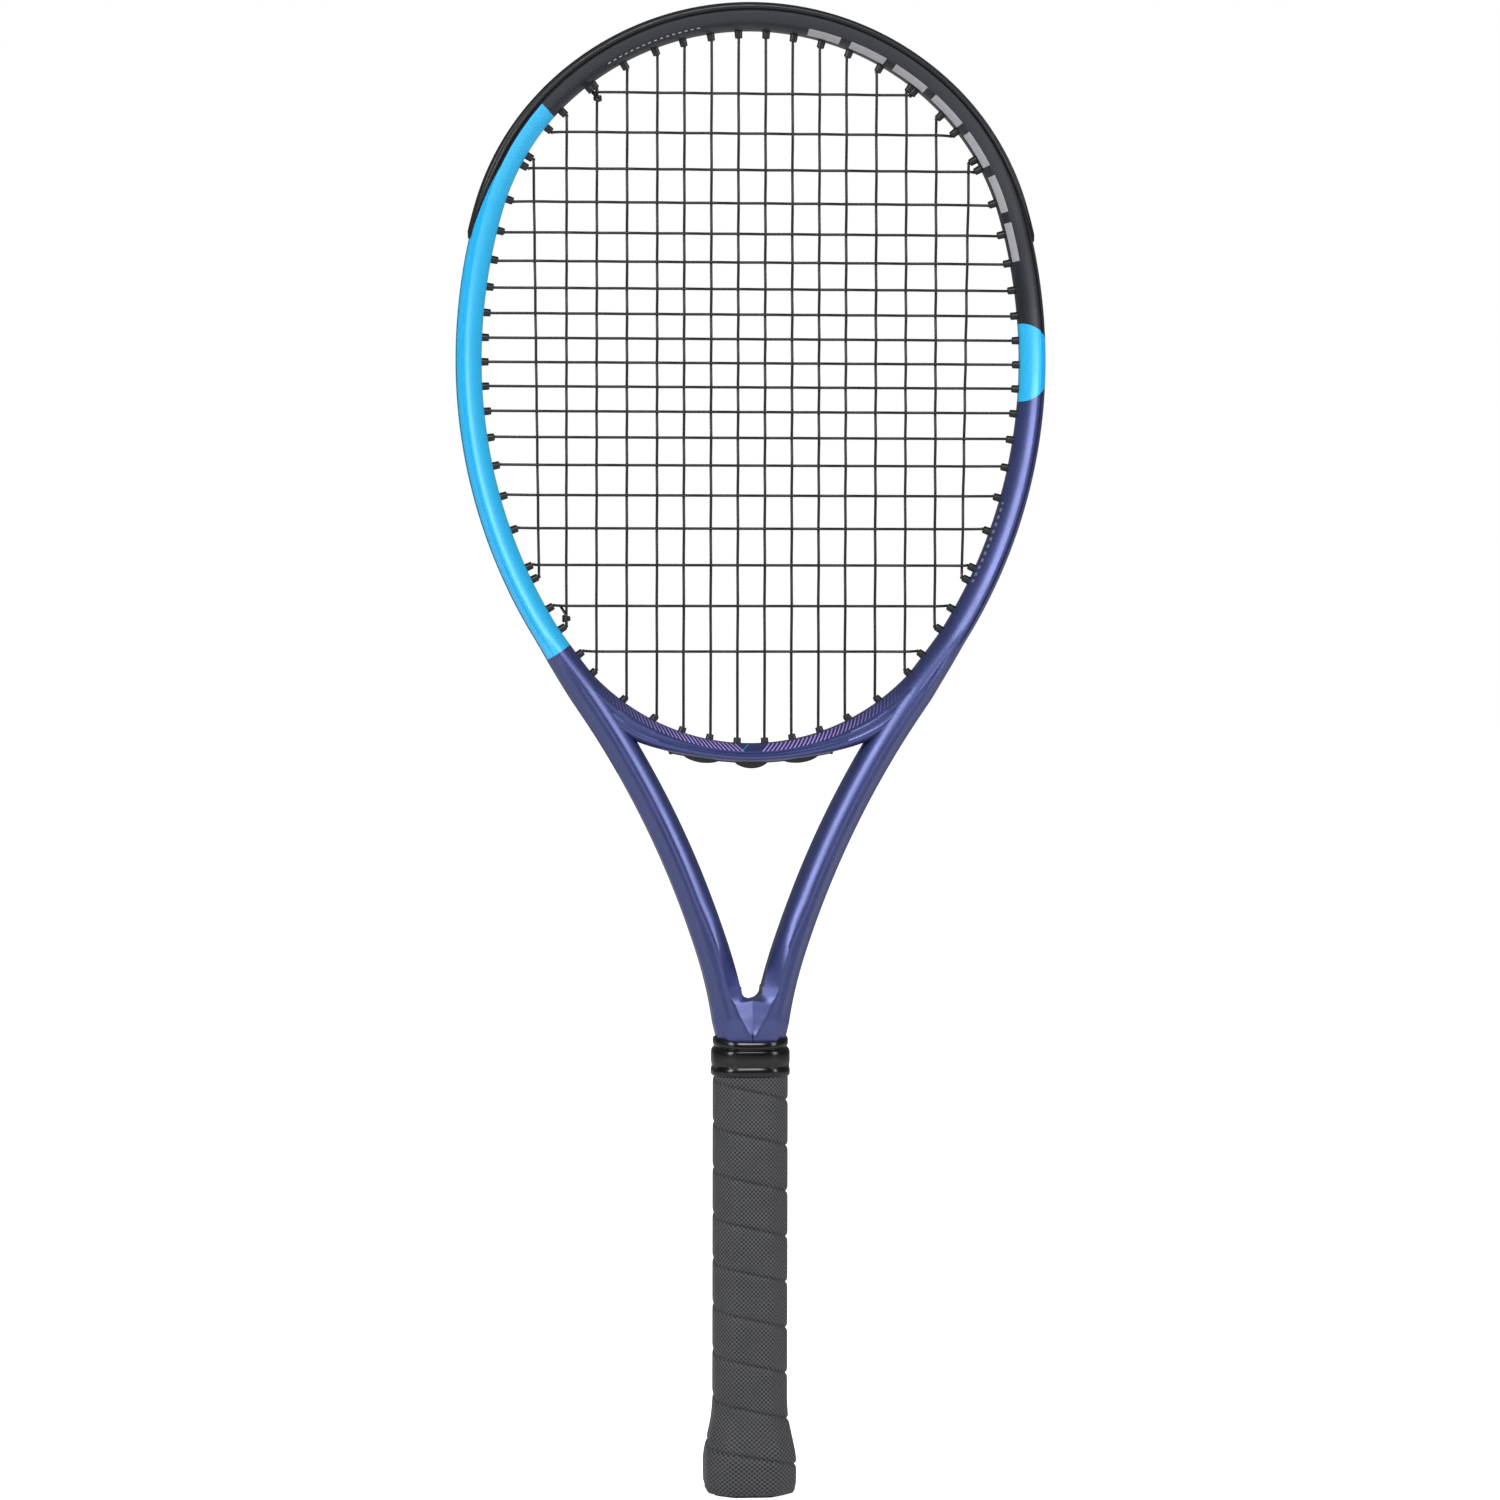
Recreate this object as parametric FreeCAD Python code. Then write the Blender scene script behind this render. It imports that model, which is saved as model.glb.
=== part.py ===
import FreeCAD
import Part

# A strung tennis racket, built piece by piece.
#
# Units are millimetres. +Z runs up the racket from the butt to the tip of the head, +X is across the
# head, and the strings lie in the plane Y = 0. The origin is the middle of the butt's end face.
#
# The painted frame is one hollow moulded tube bent like a hairpin: up one shaft, round the head and
# down the other. Its middle line is a chain of tangent arcs. A second short tube, the bridge, closes
# the head above the open throat. Four moulded strips line the groove round the outside of the head,
# and their barrels pass through the frame to carry the string. A foam handle, a stapled butt cap, a
# grip, its finishing tape and a rubber collar make the handle.

import math
import os

V = FreeCAD.Vector
Y_AXIS = V(0, 1, 0)

# ---------------------------------------------------------------- driving dimensions
HEAD_Z = 521.0                # height of the widest point of the head
INNER_ABOVE = 151.2           # inner edge of the head above the widest point
HOOP_WIDTH = 11.6             # frame tube in the plane of the strings
SHAFT_WIDTH = 14.7
CORE_WIDTH = 12.3             # each leg inside the handle
HOOP_DEPTH = 23.0             # frame tube across the plane of the strings
SHAFT_DEPTH = 25.0
CORE_DEPTH = 20.0
CREST = 1.8                   # the front and back ridges stand this far outside the tube's middle
TUBE_WALL = 1.5

# Middle line of the hairpin's right half from the top of the head: (radius, degrees turned).
HEAD_ARCS = [(128.5, 42.9), (116.2, 31.0), (250.6, 16.1), (236.0, 32.3)]
SHOULDER_ARC = (552.0, 3.0)   # the tube widens from hoop to shaft along this arc
LEG_ARCS = [(437.0, 17.8), (201.0, 9.1)]   # these turn the other way
CORE_TOP = 196.0
CORE_X = 6.05
CORE_BOTTOM = 6.0

BRIDGE_WIDTH = 8.5
BRIDGE_DEPTH = 20.6
BRIDGE_CREST = 0.6
BRIDGE_LEAVES = 116.0         # heading at which the bridge's inner edge leaves the hairpin's
BRIDGE_SIDE_ARC = (220.0, 10.0)
NOTCH_Z = 228.4               # bottom of the open throat
NOTCH_RADIUS = 5.0
WEB_DEPTH = 17.0
WEB_BOTTOM_HALF = 5.0         # half width of the web between the legs at the handle and at the notch
WEB_TOP_HALF = 8.5

GROOVE_FLOOR = 2.6            # groove round the outside of the head
GROOVE_HALF = 4.15
GROOVE_WALL = 1.5             # thickness left between the groove and the hollow
BRIDGE_GROOVE_WALL = 1.2
BRIDGE_HOLLOW_TO = 42.0       # the bridge is solid beyond this, where it runs into the shafts
GROOVE_BEYOND = 0.3           # groove past the end of its strip
STRIP_FLOOR = 1.2
STRIP_HALF = 4.05
CHANNEL_HALF = 2.9            # open channel in a strip where the string runs
FIT = 0.05                    # gap between parts that are pushed together
GUARD_PROUD = 1.3
GUARD_HALF = 8.9
# Guard section from the tube's outer face: (outwards, sideways), under the wing and over it.
GUARD_UNDER = [(-0.8, 5.2), (-2.8, GUARD_HALF)]
GUARD_OVER = [(-1.2, GUARD_HALF), (0.9, 6.2), (GUARD_PROUD, 4.4), (GUARD_PROUD, 3.5)]
SEAT_GAP = 0.1
GUARD_END = 77.5              # heading where the head guard ends
STRIP_END_GAP = 0.6
THROAT_STRIP_HALF_ANGLE = 20.6
BUMP_AT = 24.0                # distance of the side bumps from the middle of the throat strip
BUMP_HALF_LENGTH = 6.0
BUMP_RISE = 2.5
BUMP_NARROWER = 0.5           # a bump is this much narrower than the lip on each side
LIP_PROUD = 0.9
THROAT_LIP_HALF = 3.15
THROAT_CHANNEL_HALF = 1.5
THROAT_GROOVE_GAP = 0.1
THROAT_GROOVE_BEYOND = 0.4    # degrees of groove past the throat strip's end

BARREL_RADIUS = 1.6
BARREL_BORE = 0.85
BARREL_STANDS_IN = 2.7        # barrel beyond the frame's inner face
BARREL_SHORT = 0.3            # a barrel ends this far under the string's run
BORE_BEYOND = 3.0
THROAT_BORE_BEYOND = 0.6      # the bores under the bridge stay inside the bumps
HOLE_CLEARANCE = 0.1
LAST_SHOULDER_HEADING = 157.0 # string holes up to this heading leave through the shafts
SPLAY_FROM = 140.0            # past this heading they are turned towards the shaft

STRING_RADIUS = 0.65
MAINS_EACH_SIDE = 8
MAIN_START = 6.25
MAIN_PITCH = 12.5
OUTER_MAIN_PITCH = 13.9
INNER_MAINS = 4
LEAN = 1.3                    # the outermost main leans inwards towards the bottom
CROSSES = 19
MIDDLE_CROSS_Z = 520.4
CROSS_PITCH = 11.0
GROWTH_ABOVE = 0.100          # the pitch grows with the square of the distance from the middle
GROWTH_BELOW = 0.137
WEAVE = 0.68                  # how far a string stands off the middle plane at a crossing
BEND_BEYOND = 0.45            # a string bends this far beyond the barrel's tip
MEETING_ROOM = 1.0
SIDE_STEP = 1.4               # a run outside the frame steps sideways past other holes
TAIL_STEP = 1.40              # a tied-off end lies beside the string it is tied to
RUN_BEND = 2.6                # it takes this much length to step
RUN_CHANGES_AT = 0.55
RUN_STEP = 9.0
RUN_GAP = 0.08                # clearance under a turn
MOUTH = 0.9                   # a turn starts this deep inside the hole's mouth
STRIP_BEYOND = 5.0            # side strips end this far past their last hole
KNOT_RING = 1.55
KNOT_WIRE = 0.8               # the rings are a little fatter than the string, as a pulled knot is
KNOT_PITCH = 1.15
KNOT_TURNS = 2
UPPER_KNOT_BEYOND = 3.6       # from the bend to the middle of the knot's first ring
LOWER_KNOT_BEYOND = 2.3
TAIL_LENGTH = 7.0
TAIL_DIRECTION = (-0.45, 0.35, 0.8)
TAIL_CLEAR = 0.1

PALLET_WIDTH = 30.5           # octagonal foam handle
PALLET_DEPTH = 26.6
BEVEL_X = 7.4
BEVEL_Y = 7.5
BEVEL_GROWTH = 0.17           # the bevels grow with whatever is wrapped round the handle
PALLET_BOTTOM = 3.1
PALLET_TOP = 205.0
GRIP_THICKNESS = 1.7
GRIP_TOP = 203.0
GRIP_BOTTOM = 1.2
SLIP = 0.1                    # added to a width so that a sleeve clears what it covers
# Added to the pallet's width and depth by the butt cap, from the end face up: (height, amount).
CAP_FLARE = [(0.0, 2.6), (1.2, 5.2), (3.5, 7.3), (8.0, 8.1), (17.0, 8.3), (26.0, 5.1), (33.0, 1.9),
             (38.0, 0.7)]
STAPLE_CROWN = 11.0
STAPLE_LEG = 4.2
STAPLE_WIRE = (1.2, 0.5)
STAPLE_HEIGHT = 31.0
STAPLE_SUNK = 0.3
TACK_HEIGHT = 12.0
TACK_HEAD = (2.2, 0.5)
TACK_SHANK = (0.5, 3.0)
# Outside of the rubber collar, (height, width): bead, broad band, neck, top lip.
COLLAR_OUTSIDE = [(193.4, 35.2), (194.4, 36.3), (196.8, 36.3), (198.0, 35.4), (199.2, 36.1),
                  (205.2, 36.1), (206.6, 34.0), (207.6, 34.4), (210.6, 34.4), (211.4, 33.4)]
COLLAR_DEPTH_LESS = 4.0
COLLAR_BORE = [(193.4, 34.5, 30.5), (203.6, 34.5, 30.5), (207.0, 32.1, 26.4), (211.4, 32.1, 26.4)]
TAPE_THICKNESS = 0.15
TAPE_SPAN = (195.6, 202.6)
BRIDGE_ENDS_X = 64.0          # beyond this the bridge is one with the hairpin


# ---------------------------------------------------------------- the hairpin's middle line
class Piece:
    """One arc of the hairpin: where it starts, how it turns, and the tube's size at each end."""

    def __init__(self, start, heading, radius, degrees, size0, size1, begin):
        self.heading = heading
        self.radius = radius
        self.turn = 1 if degrees >= 0 else -1
        self.length = radius * math.radians(abs(degrees))
        self.size0 = size0
        self.size1 = size1
        self.begin = begin
        self.end = begin + self.length
        n = outward(heading)
        self.centre = (start[0] - n[0] * radius * self.turn, start[1] - n[1] * radius * self.turn)

    def at(self, s):
        """Middle point, heading and tube size at a distance along the hairpin."""
        t = (s - self.begin) / self.length
        heading = self.heading + self.turn * math.degrees((s - self.begin) / self.radius)
        n = outward(heading)
        r = self.radius * self.turn
        point = (self.centre[0] + n[0] * r, self.centre[1] + n[1] * r)
        size = tuple(a + (b - a) * t for a, b in zip(self.size0, self.size1))
        return point, heading, size


def outward(heading):
    """Unit normal pointing out of the head; the heading is 0 at the top and 90 at the widest point."""
    return math.sin(math.radians(heading)), math.cos(math.radians(heading))


def build_chain():
    hoop = (HOOP_WIDTH, HOOP_DEPTH)
    shaft = (SHAFT_WIDTH, SHAFT_DEPTH)
    chain = []
    point = (0.0, HEAD_Z + INNER_ABOVE + HOOP_WIDTH / 2)
    heading, begin = 0.0, 0.0
    arcs = [(r, a, hoop, hoop) for r, a in HEAD_ARCS]
    arcs.append((*SHOULDER_ARC, hoop, shaft))
    arcs += [(r, -a, shaft, shaft) for r, a in LEG_ARCS]
    for radius, degrees, size0, size1 in arcs:
        piece = Piece(point, heading, radius, degrees, size0, size1, begin)
        chain.append(piece)
        begin = piece.end
        point, heading, _ = piece.at(piece.end)
    return chain


CHAIN = build_chain()
SHOULDER = CHAIN[len(HEAD_ARCS)]
HEAD_TURN = sum(degrees for _, degrees in HEAD_ARCS) + SHOULDER_ARC[1]


def hairpin_at(s):
    for piece in CHAIN:
        if s <= piece.end + 1e-9:
            return piece.at(s)
    return CHAIN[-1].at(CHAIN[-1].end)


def s_at_heading(heading):
    """Distance along the hairpin where the head reaches a heading."""
    for piece in CHAIN:
        if heading <= piece.heading + math.degrees(piece.length / piece.radius) + 1e-9:
            return piece.begin + math.radians(heading - piece.heading) * piece.radius
    return SHOULDER.end


def place(point, heading, u, v):
    n = outward(heading)
    return V(point[0] + n[0] * u, v, point[1] + n[1] * u)


# ---------------------------------------------------------------- closed sections
def closed_wire(spot, outline):
    """Wire through (u, v, bulge) points; the bulge is the rise of the arc to the next point."""
    edges = []
    for i, (u, v, bulge) in enumerate(outline):
        u1, v1, _ = outline[(i + 1) % len(outline)]
        a, b = spot(u, v), spot(u1, v1)
        if bulge == 0:
            edges.append(Part.LineSegment(a, b).toShape())
            continue
        chord = math.hypot(u1 - u, v1 - v)
        mid = spot((u + u1) / 2 + (v1 - v) / chord * bulge, (v + v1) / 2 - (u1 - u) / chord * bulge)
        edges.append(Part.Arc(a, mid, b).toShape())
    return Part.Wire(edges)


def tube_outline(size, inset=0.0, outer_inset=0.0):
    """Ridged oval of the hairpin: a broad rounded inner facet, a ridge, and a steep outer facet."""
    w, d = size[0] / 2 - inset, size[1] / 2 - inset
    far = size[0] / 2 - max(inset, outer_inset)
    crest = min(CREST, far - 1.0)
    return [(-w, -0.22 * d, 0.12 * w + 0.6), (crest, -d, 0.25), (far, -0.5 * d, 0.0),
            (far, 0.5 * d, 0.25), (crest, d, 0.12 * w + 0.6), (-w, 0.22 * d, 0.25)]


def bridge_outline(inset=0.0, outer_inset=0.0):
    w, d = BRIDGE_WIDTH / 2 - inset, BRIDGE_DEPTH / 2 - inset
    far = BRIDGE_WIDTH / 2 - max(inset, outer_inset)
    crest = min(BRIDGE_CREST, far - 0.5)
    return [(-w, -0.25 * d, 0.4), (crest, -d, 0.3), (far, -0.55 * d, 0.0), (far, 0.55 * d, 0.3),
            (crest, d, 0.4), (-w, 0.25 * d, 0.1)]


def polygon(points):
    """Symmetric outline from its v >= 0 half, listed as (u, v)."""
    upper = [(u, v, 0.0) for u, v in points if v > 0]
    lower = [(u, -v, 0.0) for u, v in reversed(points) if v > 0]
    return upper + lower


def strip_outline(size):
    w = size[0] / 2
    floor, top = w - GROOVE_FLOOR + FIT, w - 0.2
    seat = floor + STRIP_FLOOR
    return polygon([(floor, STRIP_HALF), (top, STRIP_HALF), (top, CHANNEL_HALF), (seat, CHANNEL_HALF)])


def groove_outline(size):
    w = size[0] / 2
    return polygon([(w - GROOVE_FLOOR, GROOVE_HALF), (w + 2, GROOVE_HALF)])


def guard_outline(size, gap=0.0):
    """Head guard: a channel with two rails and a wing down each side of the frame."""
    w = size[0] / 2
    (inner, at), (edge, half) = GUARD_UNDER
    under = [(w - GROOVE_FLOOR + FIT - gap, STRIP_HALF + gap), (w + inner - gap, at),
             (w + edge - gap, half + gap)]
    if gap:
        return polygon(under + [(w + 4, half + gap)])
    seat = w - GROOVE_FLOOR + FIT + STRIP_FLOOR
    return polygon(under + [(w + u, v) for u, v in GUARD_OVER] + [(seat, CHANNEL_HALF)])


def seat_outline(size):
    return guard_outline(size, gap=SEAT_GAP)


def sweep(outline, s0, s1):
    """Solid with the given section along the hairpin, as one block per arc."""
    blocks = []
    for piece in CHAIN:
        a, b = max(s0, piece.begin), min(s1, piece.end)
        if b - a < 1e-6:
            continue
        point, heading, size = piece.at(a)
        first = closed_wire(lambda u, v: place(point, heading, u, v), outline(size))
        if piece.size0 == piece.size1:
            centre = V(piece.centre[0], 0, piece.centre[1])
            angle = piece.turn * math.degrees((b - a) / piece.radius)
            blocks.append(Part.Face(first).revolve(centre, Y_AXIS, angle))
        else:
            point1, heading1, size1 = piece.at(b)
            last = closed_wire(lambda u, v: place(point1, heading1, u, v), outline(size1))
            blocks.append(Part.makeLoft([first, last], True, True))
    return fused(blocks)


def fused(shapes):
    shapes = list(shapes)
    if len(shapes) == 1:
        return shapes[0]
    return shapes[0].fuse(shapes[1:]).removeSplitter()


def mirrored(shape):
    return shape.mirror(V(0, 0, 0), V(1, 0, 0))


def both(shape):
    return fused([shape, mirrored(shape)])


# ---------------------------------------------------------------- frame blanks
def leg_blank(inset=0.0):
    """The leg from the end of the last arc down into the handle."""
    point, heading, size = hairpin_at(CHAIN[-1].end)
    core = (CORE_WIDTH, CORE_DEPTH)
    outline = tube_outline(size, inset)
    top = closed_wire(lambda u, v: place(point, heading, u, v), outline)
    low = [V(CORE_X, 0, CORE_TOP), V(CORE_X, 0, CORE_BOTTOM)]
    wires = [top]
    for spot in low:
        wires.append(closed_wire(lambda u, v: V(spot.x + u, v, spot.z), tube_outline(core, inset)))
    upper = Part.makeLoft(wires[:2], True, True)
    lower = Part.makeLoft(wires[1:], True, True)
    return fused([upper, lower])


def frame_blank():
    """Outer shape of the hairpin with the web that joins its legs."""
    half = fused([sweep(tube_outline, 0, CHAIN[-1].end), leg_blank()])
    web_top = NOTCH_Z + NOTCH_RADIUS
    corners = [(-WEB_BOTTOM_HALF, CORE_TOP), (WEB_BOTTOM_HALF, CORE_TOP), (WEB_TOP_HALF, web_top),
               (-WEB_TOP_HALF, web_top)]
    outline = [V(x, -WEB_DEPTH / 2, z) for x, z in corners]
    web = Part.Face(Part.makePolygon(outline + outline[:1])).extrude(V(0, WEB_DEPTH, 0))
    notch = Part.makeCylinder(NOTCH_RADIUS, WEB_DEPTH + 2, V(0, -WEB_DEPTH / 2 - 1, web_top), Y_AXIS)
    return fused([half, mirrored(half), web.cut(notch)])


def frame_cavity():
    """Hollow of the hairpin, kept clear of the groove round the head."""
    deep = GROOVE_FLOOR + GROOVE_WALL
    head = sweep(lambda size: tube_outline(size, TUBE_WALL, deep), 0, SHOULDER.end)
    leg = sweep(lambda size: tube_outline(size, TUBE_WALL), SHOULDER.end, CHAIN[-1].end)
    half = fused([head, leg, leg_blank(TUBE_WALL)])
    return fused([half, mirrored(half)])


# ---------------------------------------------------------------- the head's inner edge
def side_arc_start():
    point, heading, size = hairpin_at(s_at_heading(BRIDGE_LEAVES))
    n = outward(heading)
    return point[0] - n[0] * size[0] / 2, point[1] - n[1] * size[0] / 2


def bridge_arcs():
    """Inner edge of the bridge: centre and radius of its side arc and of its middle arc."""
    x, z = side_arc_start()
    radius, degrees = BRIDGE_SIDE_ARC
    n0, n1 = outward(BRIDGE_LEAVES), outward(BRIDGE_LEAVES + degrees)
    side = (x - n0[0] * radius, z - n0[1] * radius)
    end = (side[0] + n1[0] * radius, side[1] + n1[1] * radius)
    middle_radius = end[0] / n1[0]
    middle = (0.0, end[1] - n1[1] * middle_radius)
    return (side, radius), (middle, middle_radius)


SIDE, MIDDLE = bridge_arcs()


def inner_edge(heading):
    """Point of the head's inner edge, right-hand side, from the top (0) to the bottom (180)."""
    n = outward(heading)
    if heading <= BRIDGE_LEAVES:
        point, _, size = hairpin_at(s_at_heading(heading))
        return point[0] - n[0] * size[0] / 2, point[1] - n[1] * size[0] / 2
    (x, z), r = SIDE if heading <= BRIDGE_LEAVES + BRIDGE_SIDE_ARC[1] else MIDDLE
    return x + n[0] * r, z + n[1] * r


def bridge_blank(outline):
    """Bridge section revolved about the side and middle arcs, right half, then mirrored."""
    blocks = []
    joins = BRIDGE_LEAVES + BRIDGE_SIDE_ARC[1]
    for ((x, z), r), start, end in ((SIDE, BRIDGE_LEAVES, joins), (MIDDLE, joins, 180.0)):
        n = outward(start)
        middle = (x + n[0] * (r + BRIDGE_WIDTH / 2), z + n[1] * (r + BRIDGE_WIDTH / 2))
        wire = closed_wire(lambda u, v: place(middle, start, u, v), outline)
        blocks.append(Part.Face(wire).revolve(V(x, 0, z), Y_AXIS, end - start))
    return both(fused(blocks))


# ---------------------------------------------------------------- string holes
class Hole:
    """A string hole: barrel tip inside the head, direction outwards, and where it leaves the frame."""

    def __init__(self, tip, direction, in_bridge):
        self.tip = tip
        self.direction = direction
        self.in_bridge = in_bridge
        self.s = 0.0
        self.reach = 0.0

    def along(self, t):
        return self.tip[0] + self.direction[0] * t, self.tip[1] + self.direction[1] * t

    def cylinder(self, radius, t0, t1, side=0.0):
        x, z = self.along(t0)
        dx, dz = self.direction
        return Part.makeCylinder(radius, t1 - t0, V(x, side, z), V(dx, 0, dz))


def hole_direction(heading, is_main):
    """Square to the head's inner edge, but turned towards the shaft at the ends of the bridge."""
    n = outward(heading)
    if is_main and SPLAY_FROM < heading < LAST_SHOULDER_HEADING:
        shaft = outward(HEAD_TURN)
        x, z = n[0] + shaft[0], n[1] + shaft[1]
        length = math.hypot(x, z)
        return x / length, z / length
    return n


def find_hole(is_main, target, top):
    """Hole whose barrel tip lies on a main's x or on a cross's z."""
    low, high = (20.0, 160.0) if not is_main else (0.0, 90.0) if top else (90.0, 180.0)

    def tip_at(heading):
        x, z = inner_edge(heading)
        n = outward(heading)
        return x - n[0] * BARREL_STANDS_IN, z - n[1] * BARREL_STANDS_IN

    rising = is_main and top
    for _ in range(50):
        middle = (low + high) / 2
        value = tip_at(middle)[0] if is_main else tip_at(middle)[1]
        if (value < target) == rising:
            low = middle
        else:
            high = middle
    hole = Hole(tip_at(middle), hole_direction(middle, is_main), middle > LAST_SHOULDER_HEADING)
    if hole.in_bridge:
        hole.reach = BARREL_STANDS_IN + BRIDGE_WIDTH - GROOVE_FLOOR + STRIP_FLOOR + FIT
        hole.s = middle
    else:
        leave_frame(hole)
    return hole


def leave_frame(hole):
    """Walk outwards until the barrel meets the line of the string in the outer groove."""
    previous = None
    steps = int(CHAIN[-1].end)
    for i in range(steps):
        point, heading, size = hairpin_at(i)
        n = outward(heading)
        u = run_offset(size)
        q = (point[0] + n[0] * u, point[1] + n[1] * u)
        dx, dz = q[0] - hole.tip[0], q[1] - hole.tip[1]
        across = dx * hole.direction[1] - dz * hole.direction[0]
        ahead = dx * hole.direction[0] + dz * hole.direction[1]
        if previous and ahead > 0 and previous[0] * across <= 0:
            t = previous[0] / (previous[0] - across) if previous[0] != across else 0.0
            hole.s = i - 1 + t
            hole.reach = previous[1] + (ahead - previous[1]) * t - STRING_RADIUS
            return
        previous = (across, ahead)


def run_offset(size):
    """Offset of a string lying on the strip's floor, from the tube's middle line."""
    return size[0] / 2 - GROOVE_FLOOR + FIT + STRIP_FLOOR + STRING_RADIUS + RUN_GAP


def main_xs():
    xs = []
    for i in range(MAINS_EACH_SIDE):
        outer = max(0, i - INNER_MAINS + 1)
        xs.append(MAIN_START + (i - outer) * MAIN_PITCH + outer * OUTER_MAIN_PITCH)
    return xs


def cross_zs():
    middle = CROSSES // 2
    zs = [MIDDLE_CROSS_Z]
    z = MIDDLE_CROSS_Z
    for k in range(middle):
        z += CROSS_PITCH + GROWTH_ABOVE * (k + 0.5) ** 2
        zs.insert(0, z)
    z = MIDDLE_CROSS_Z
    for k in range(middle):
        z -= CROSS_PITCH + GROWTH_BELOW * (k + 0.5) ** 2
        zs.append(z)
    return zs


def leaning(i, top):
    outermost = i == MAINS_EACH_SIDE - 1
    return (LEAN if top else -LEAN) if outermost else 0.0


MAIN_X = main_xs()
CROSS_Z = cross_zs()
TOP_TIED = 5                  # the last cross is tied to the sixth main, at the top left
BOTTOM_TIED = 6               # the first main's free end is tied to the seventh, at the bottom left
TOP_HOLES = [find_hole(True, x + leaning(i, True), True) for i, x in enumerate(MAIN_X)]
BOTTOM_HOLES = [find_hole(True, x + leaning(i, False), False) for i, x in enumerate(MAIN_X)]
CROSS_HOLES = [find_hole(False, z, True) for z in CROSS_Z]


# ---------------------------------------------------------------- grommet strips
def barrels(holes, tied=(), beyond=BORE_BEYOND):
    """Barrels of the right-hand holes; tied ones are oval and take two strings side by side."""
    solids, bores = [], []
    for hole in holes:
        for side in (0.0, TAIL_STEP) if hole in tied else (0.0,):
            solids.append(hole.cylinder(BARREL_RADIUS, 0.0, hole.reach - BARREL_SHORT, side))
            bores.append(hole.cylinder(BARREL_BORE, -1.0, hole.reach + beyond, side))
    return solids, bores


def strip_with_barrels(base, holes, tied=()):
    solids, bores = barrels(holes, tied)
    return fused([base] + solids).cut(bores)


def side_holes(low, high):
    holes = TOP_HOLES + CROSS_HOLES + BOTTOM_HOLES
    return [h for h in holes if not h.in_bridge and low <= h.s < high]


def bridge_ring(points, half_angle):
    """Section revolved along the underside of the bridge; u is measured from the bridge's face."""
    (x, z), r = MIDDLE
    start = 180.0 - half_angle
    n = outward(start)
    face = (x + n[0] * (r + BRIDGE_WIDTH), z + n[1] * (r + BRIDGE_WIDTH))
    wire = closed_wire(lambda u, v: place(face, start, u, v), polygon(points))
    return Part.Face(wire).revolve(V(x, 0, z), Y_AXIS, 2 * half_angle)


def bump(angle_from_middle):
    """Rounded cover over one turn of string under the bridge."""
    (x, z), r = MIDDLE
    n = outward(180.0 - angle_from_middle)
    face = r + BRIDGE_WIDTH
    radius = (BUMP_HALF_LENGTH ** 2 + BUMP_RISE ** 2) / (2 * BUMP_RISE)
    depth = face + LIP_PROUD + BUMP_RISE - radius
    half = THROAT_LIP_HALF - BUMP_NARROWER
    disc = Part.makeCylinder(radius, 2 * half, V(x + n[0] * depth, -half, z + n[1] * depth), Y_AXIS)
    inside = Part.makeCylinder(face + 0.2, 2 * half + 2, V(x, -half - 1, z), Y_AXIS)
    return disc.cut(inside)


def throat_strip():
    """Strip under the bridge: a channel in the groove, with a cover over each turn of string."""
    floor = FIT - GROOVE_FLOOR
    seat = floor + STRIP_FLOOR
    outline = [(floor, THROAT_LIP_HALF), (LIP_PROUD, THROAT_LIP_HALF),
               (LIP_PROUD, THROAT_CHANNEL_HALF), (seat, THROAT_CHANNEL_HALF)]
    base = bridge_ring(outline, THROAT_STRIP_HALF_ANGLE)
    side = math.degrees(BUMP_AT / (MIDDLE[1] + BRIDGE_WIDTH))
    solids, bores = barrels([h for h in BOTTOM_HOLES if h.in_bridge], beyond=THROAT_BORE_BEYOND)
    strip = fused([base, bump(0.0), bump(side), bump(-side)] + solids + [mirrored(s) for s in solids])
    return strip.cut(bores + [mirrored(b) for b in bores])


# ---------------------------------------------------------------- the string
def rod(points, radius):
    """Round string along a polyline, with mitred corners."""
    wire = Part.makePolygon(points)
    circle = Part.Wire(Part.makeCircle(radius, points[0], points[1] - points[0]))
    shell = Part.BRepOffsetAPI.MakePipeShell(wire)
    shell.setTransitionMode(1)
    shell.add(circle)
    shell.build()
    shell.makeSolid()
    return shell.shape()


def hole_points(hole, sign):
    """Mouth of a hole in the outer groove, then the bend just beyond the barrel's tip."""
    x, z = hole.along(hole.reach - MOUTH)
    bx, bz = hole.along(-BEND_BEYOND)
    return V(sign * x, 0, z), V(sign * bx, 0, bz)


def main_x_at(i, sign, z):
    """Where a main is at a height; only the outermost ones lean."""
    top, bottom = TOP_HOLES[i].along(-BEND_BEYOND), BOTTOM_HOLES[i].along(-BEND_BEYOND)
    t = (z - bottom[1]) / (top[1] - bottom[1])
    return sign * (bottom[0] + (top[0] - bottom[0]) * t)


def main_number(i, sign):
    return i if sign > 0 else -i - 1


def crosses_at(i, sign, j):
    """Point where a main passes a cross, or None if they do not meet."""
    z = CROSS_Z[j]
    x = main_x_at(i, sign, z)
    reach = CROSS_HOLES[j].along(-BEND_BEYOND)[0] - MEETING_ROOM
    high = TOP_HOLES[i].along(-BEND_BEYOND)[1] - MEETING_ROOM
    low = BOTTOM_HOLES[i].along(-BEND_BEYOND)[1] + MEETING_ROOM
    if abs(x) > reach or z > high or z < low:
        return None
    return V(x, WEAVE if (main_number(i, sign) + j) % 2 else -WEAVE, z)


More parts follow.
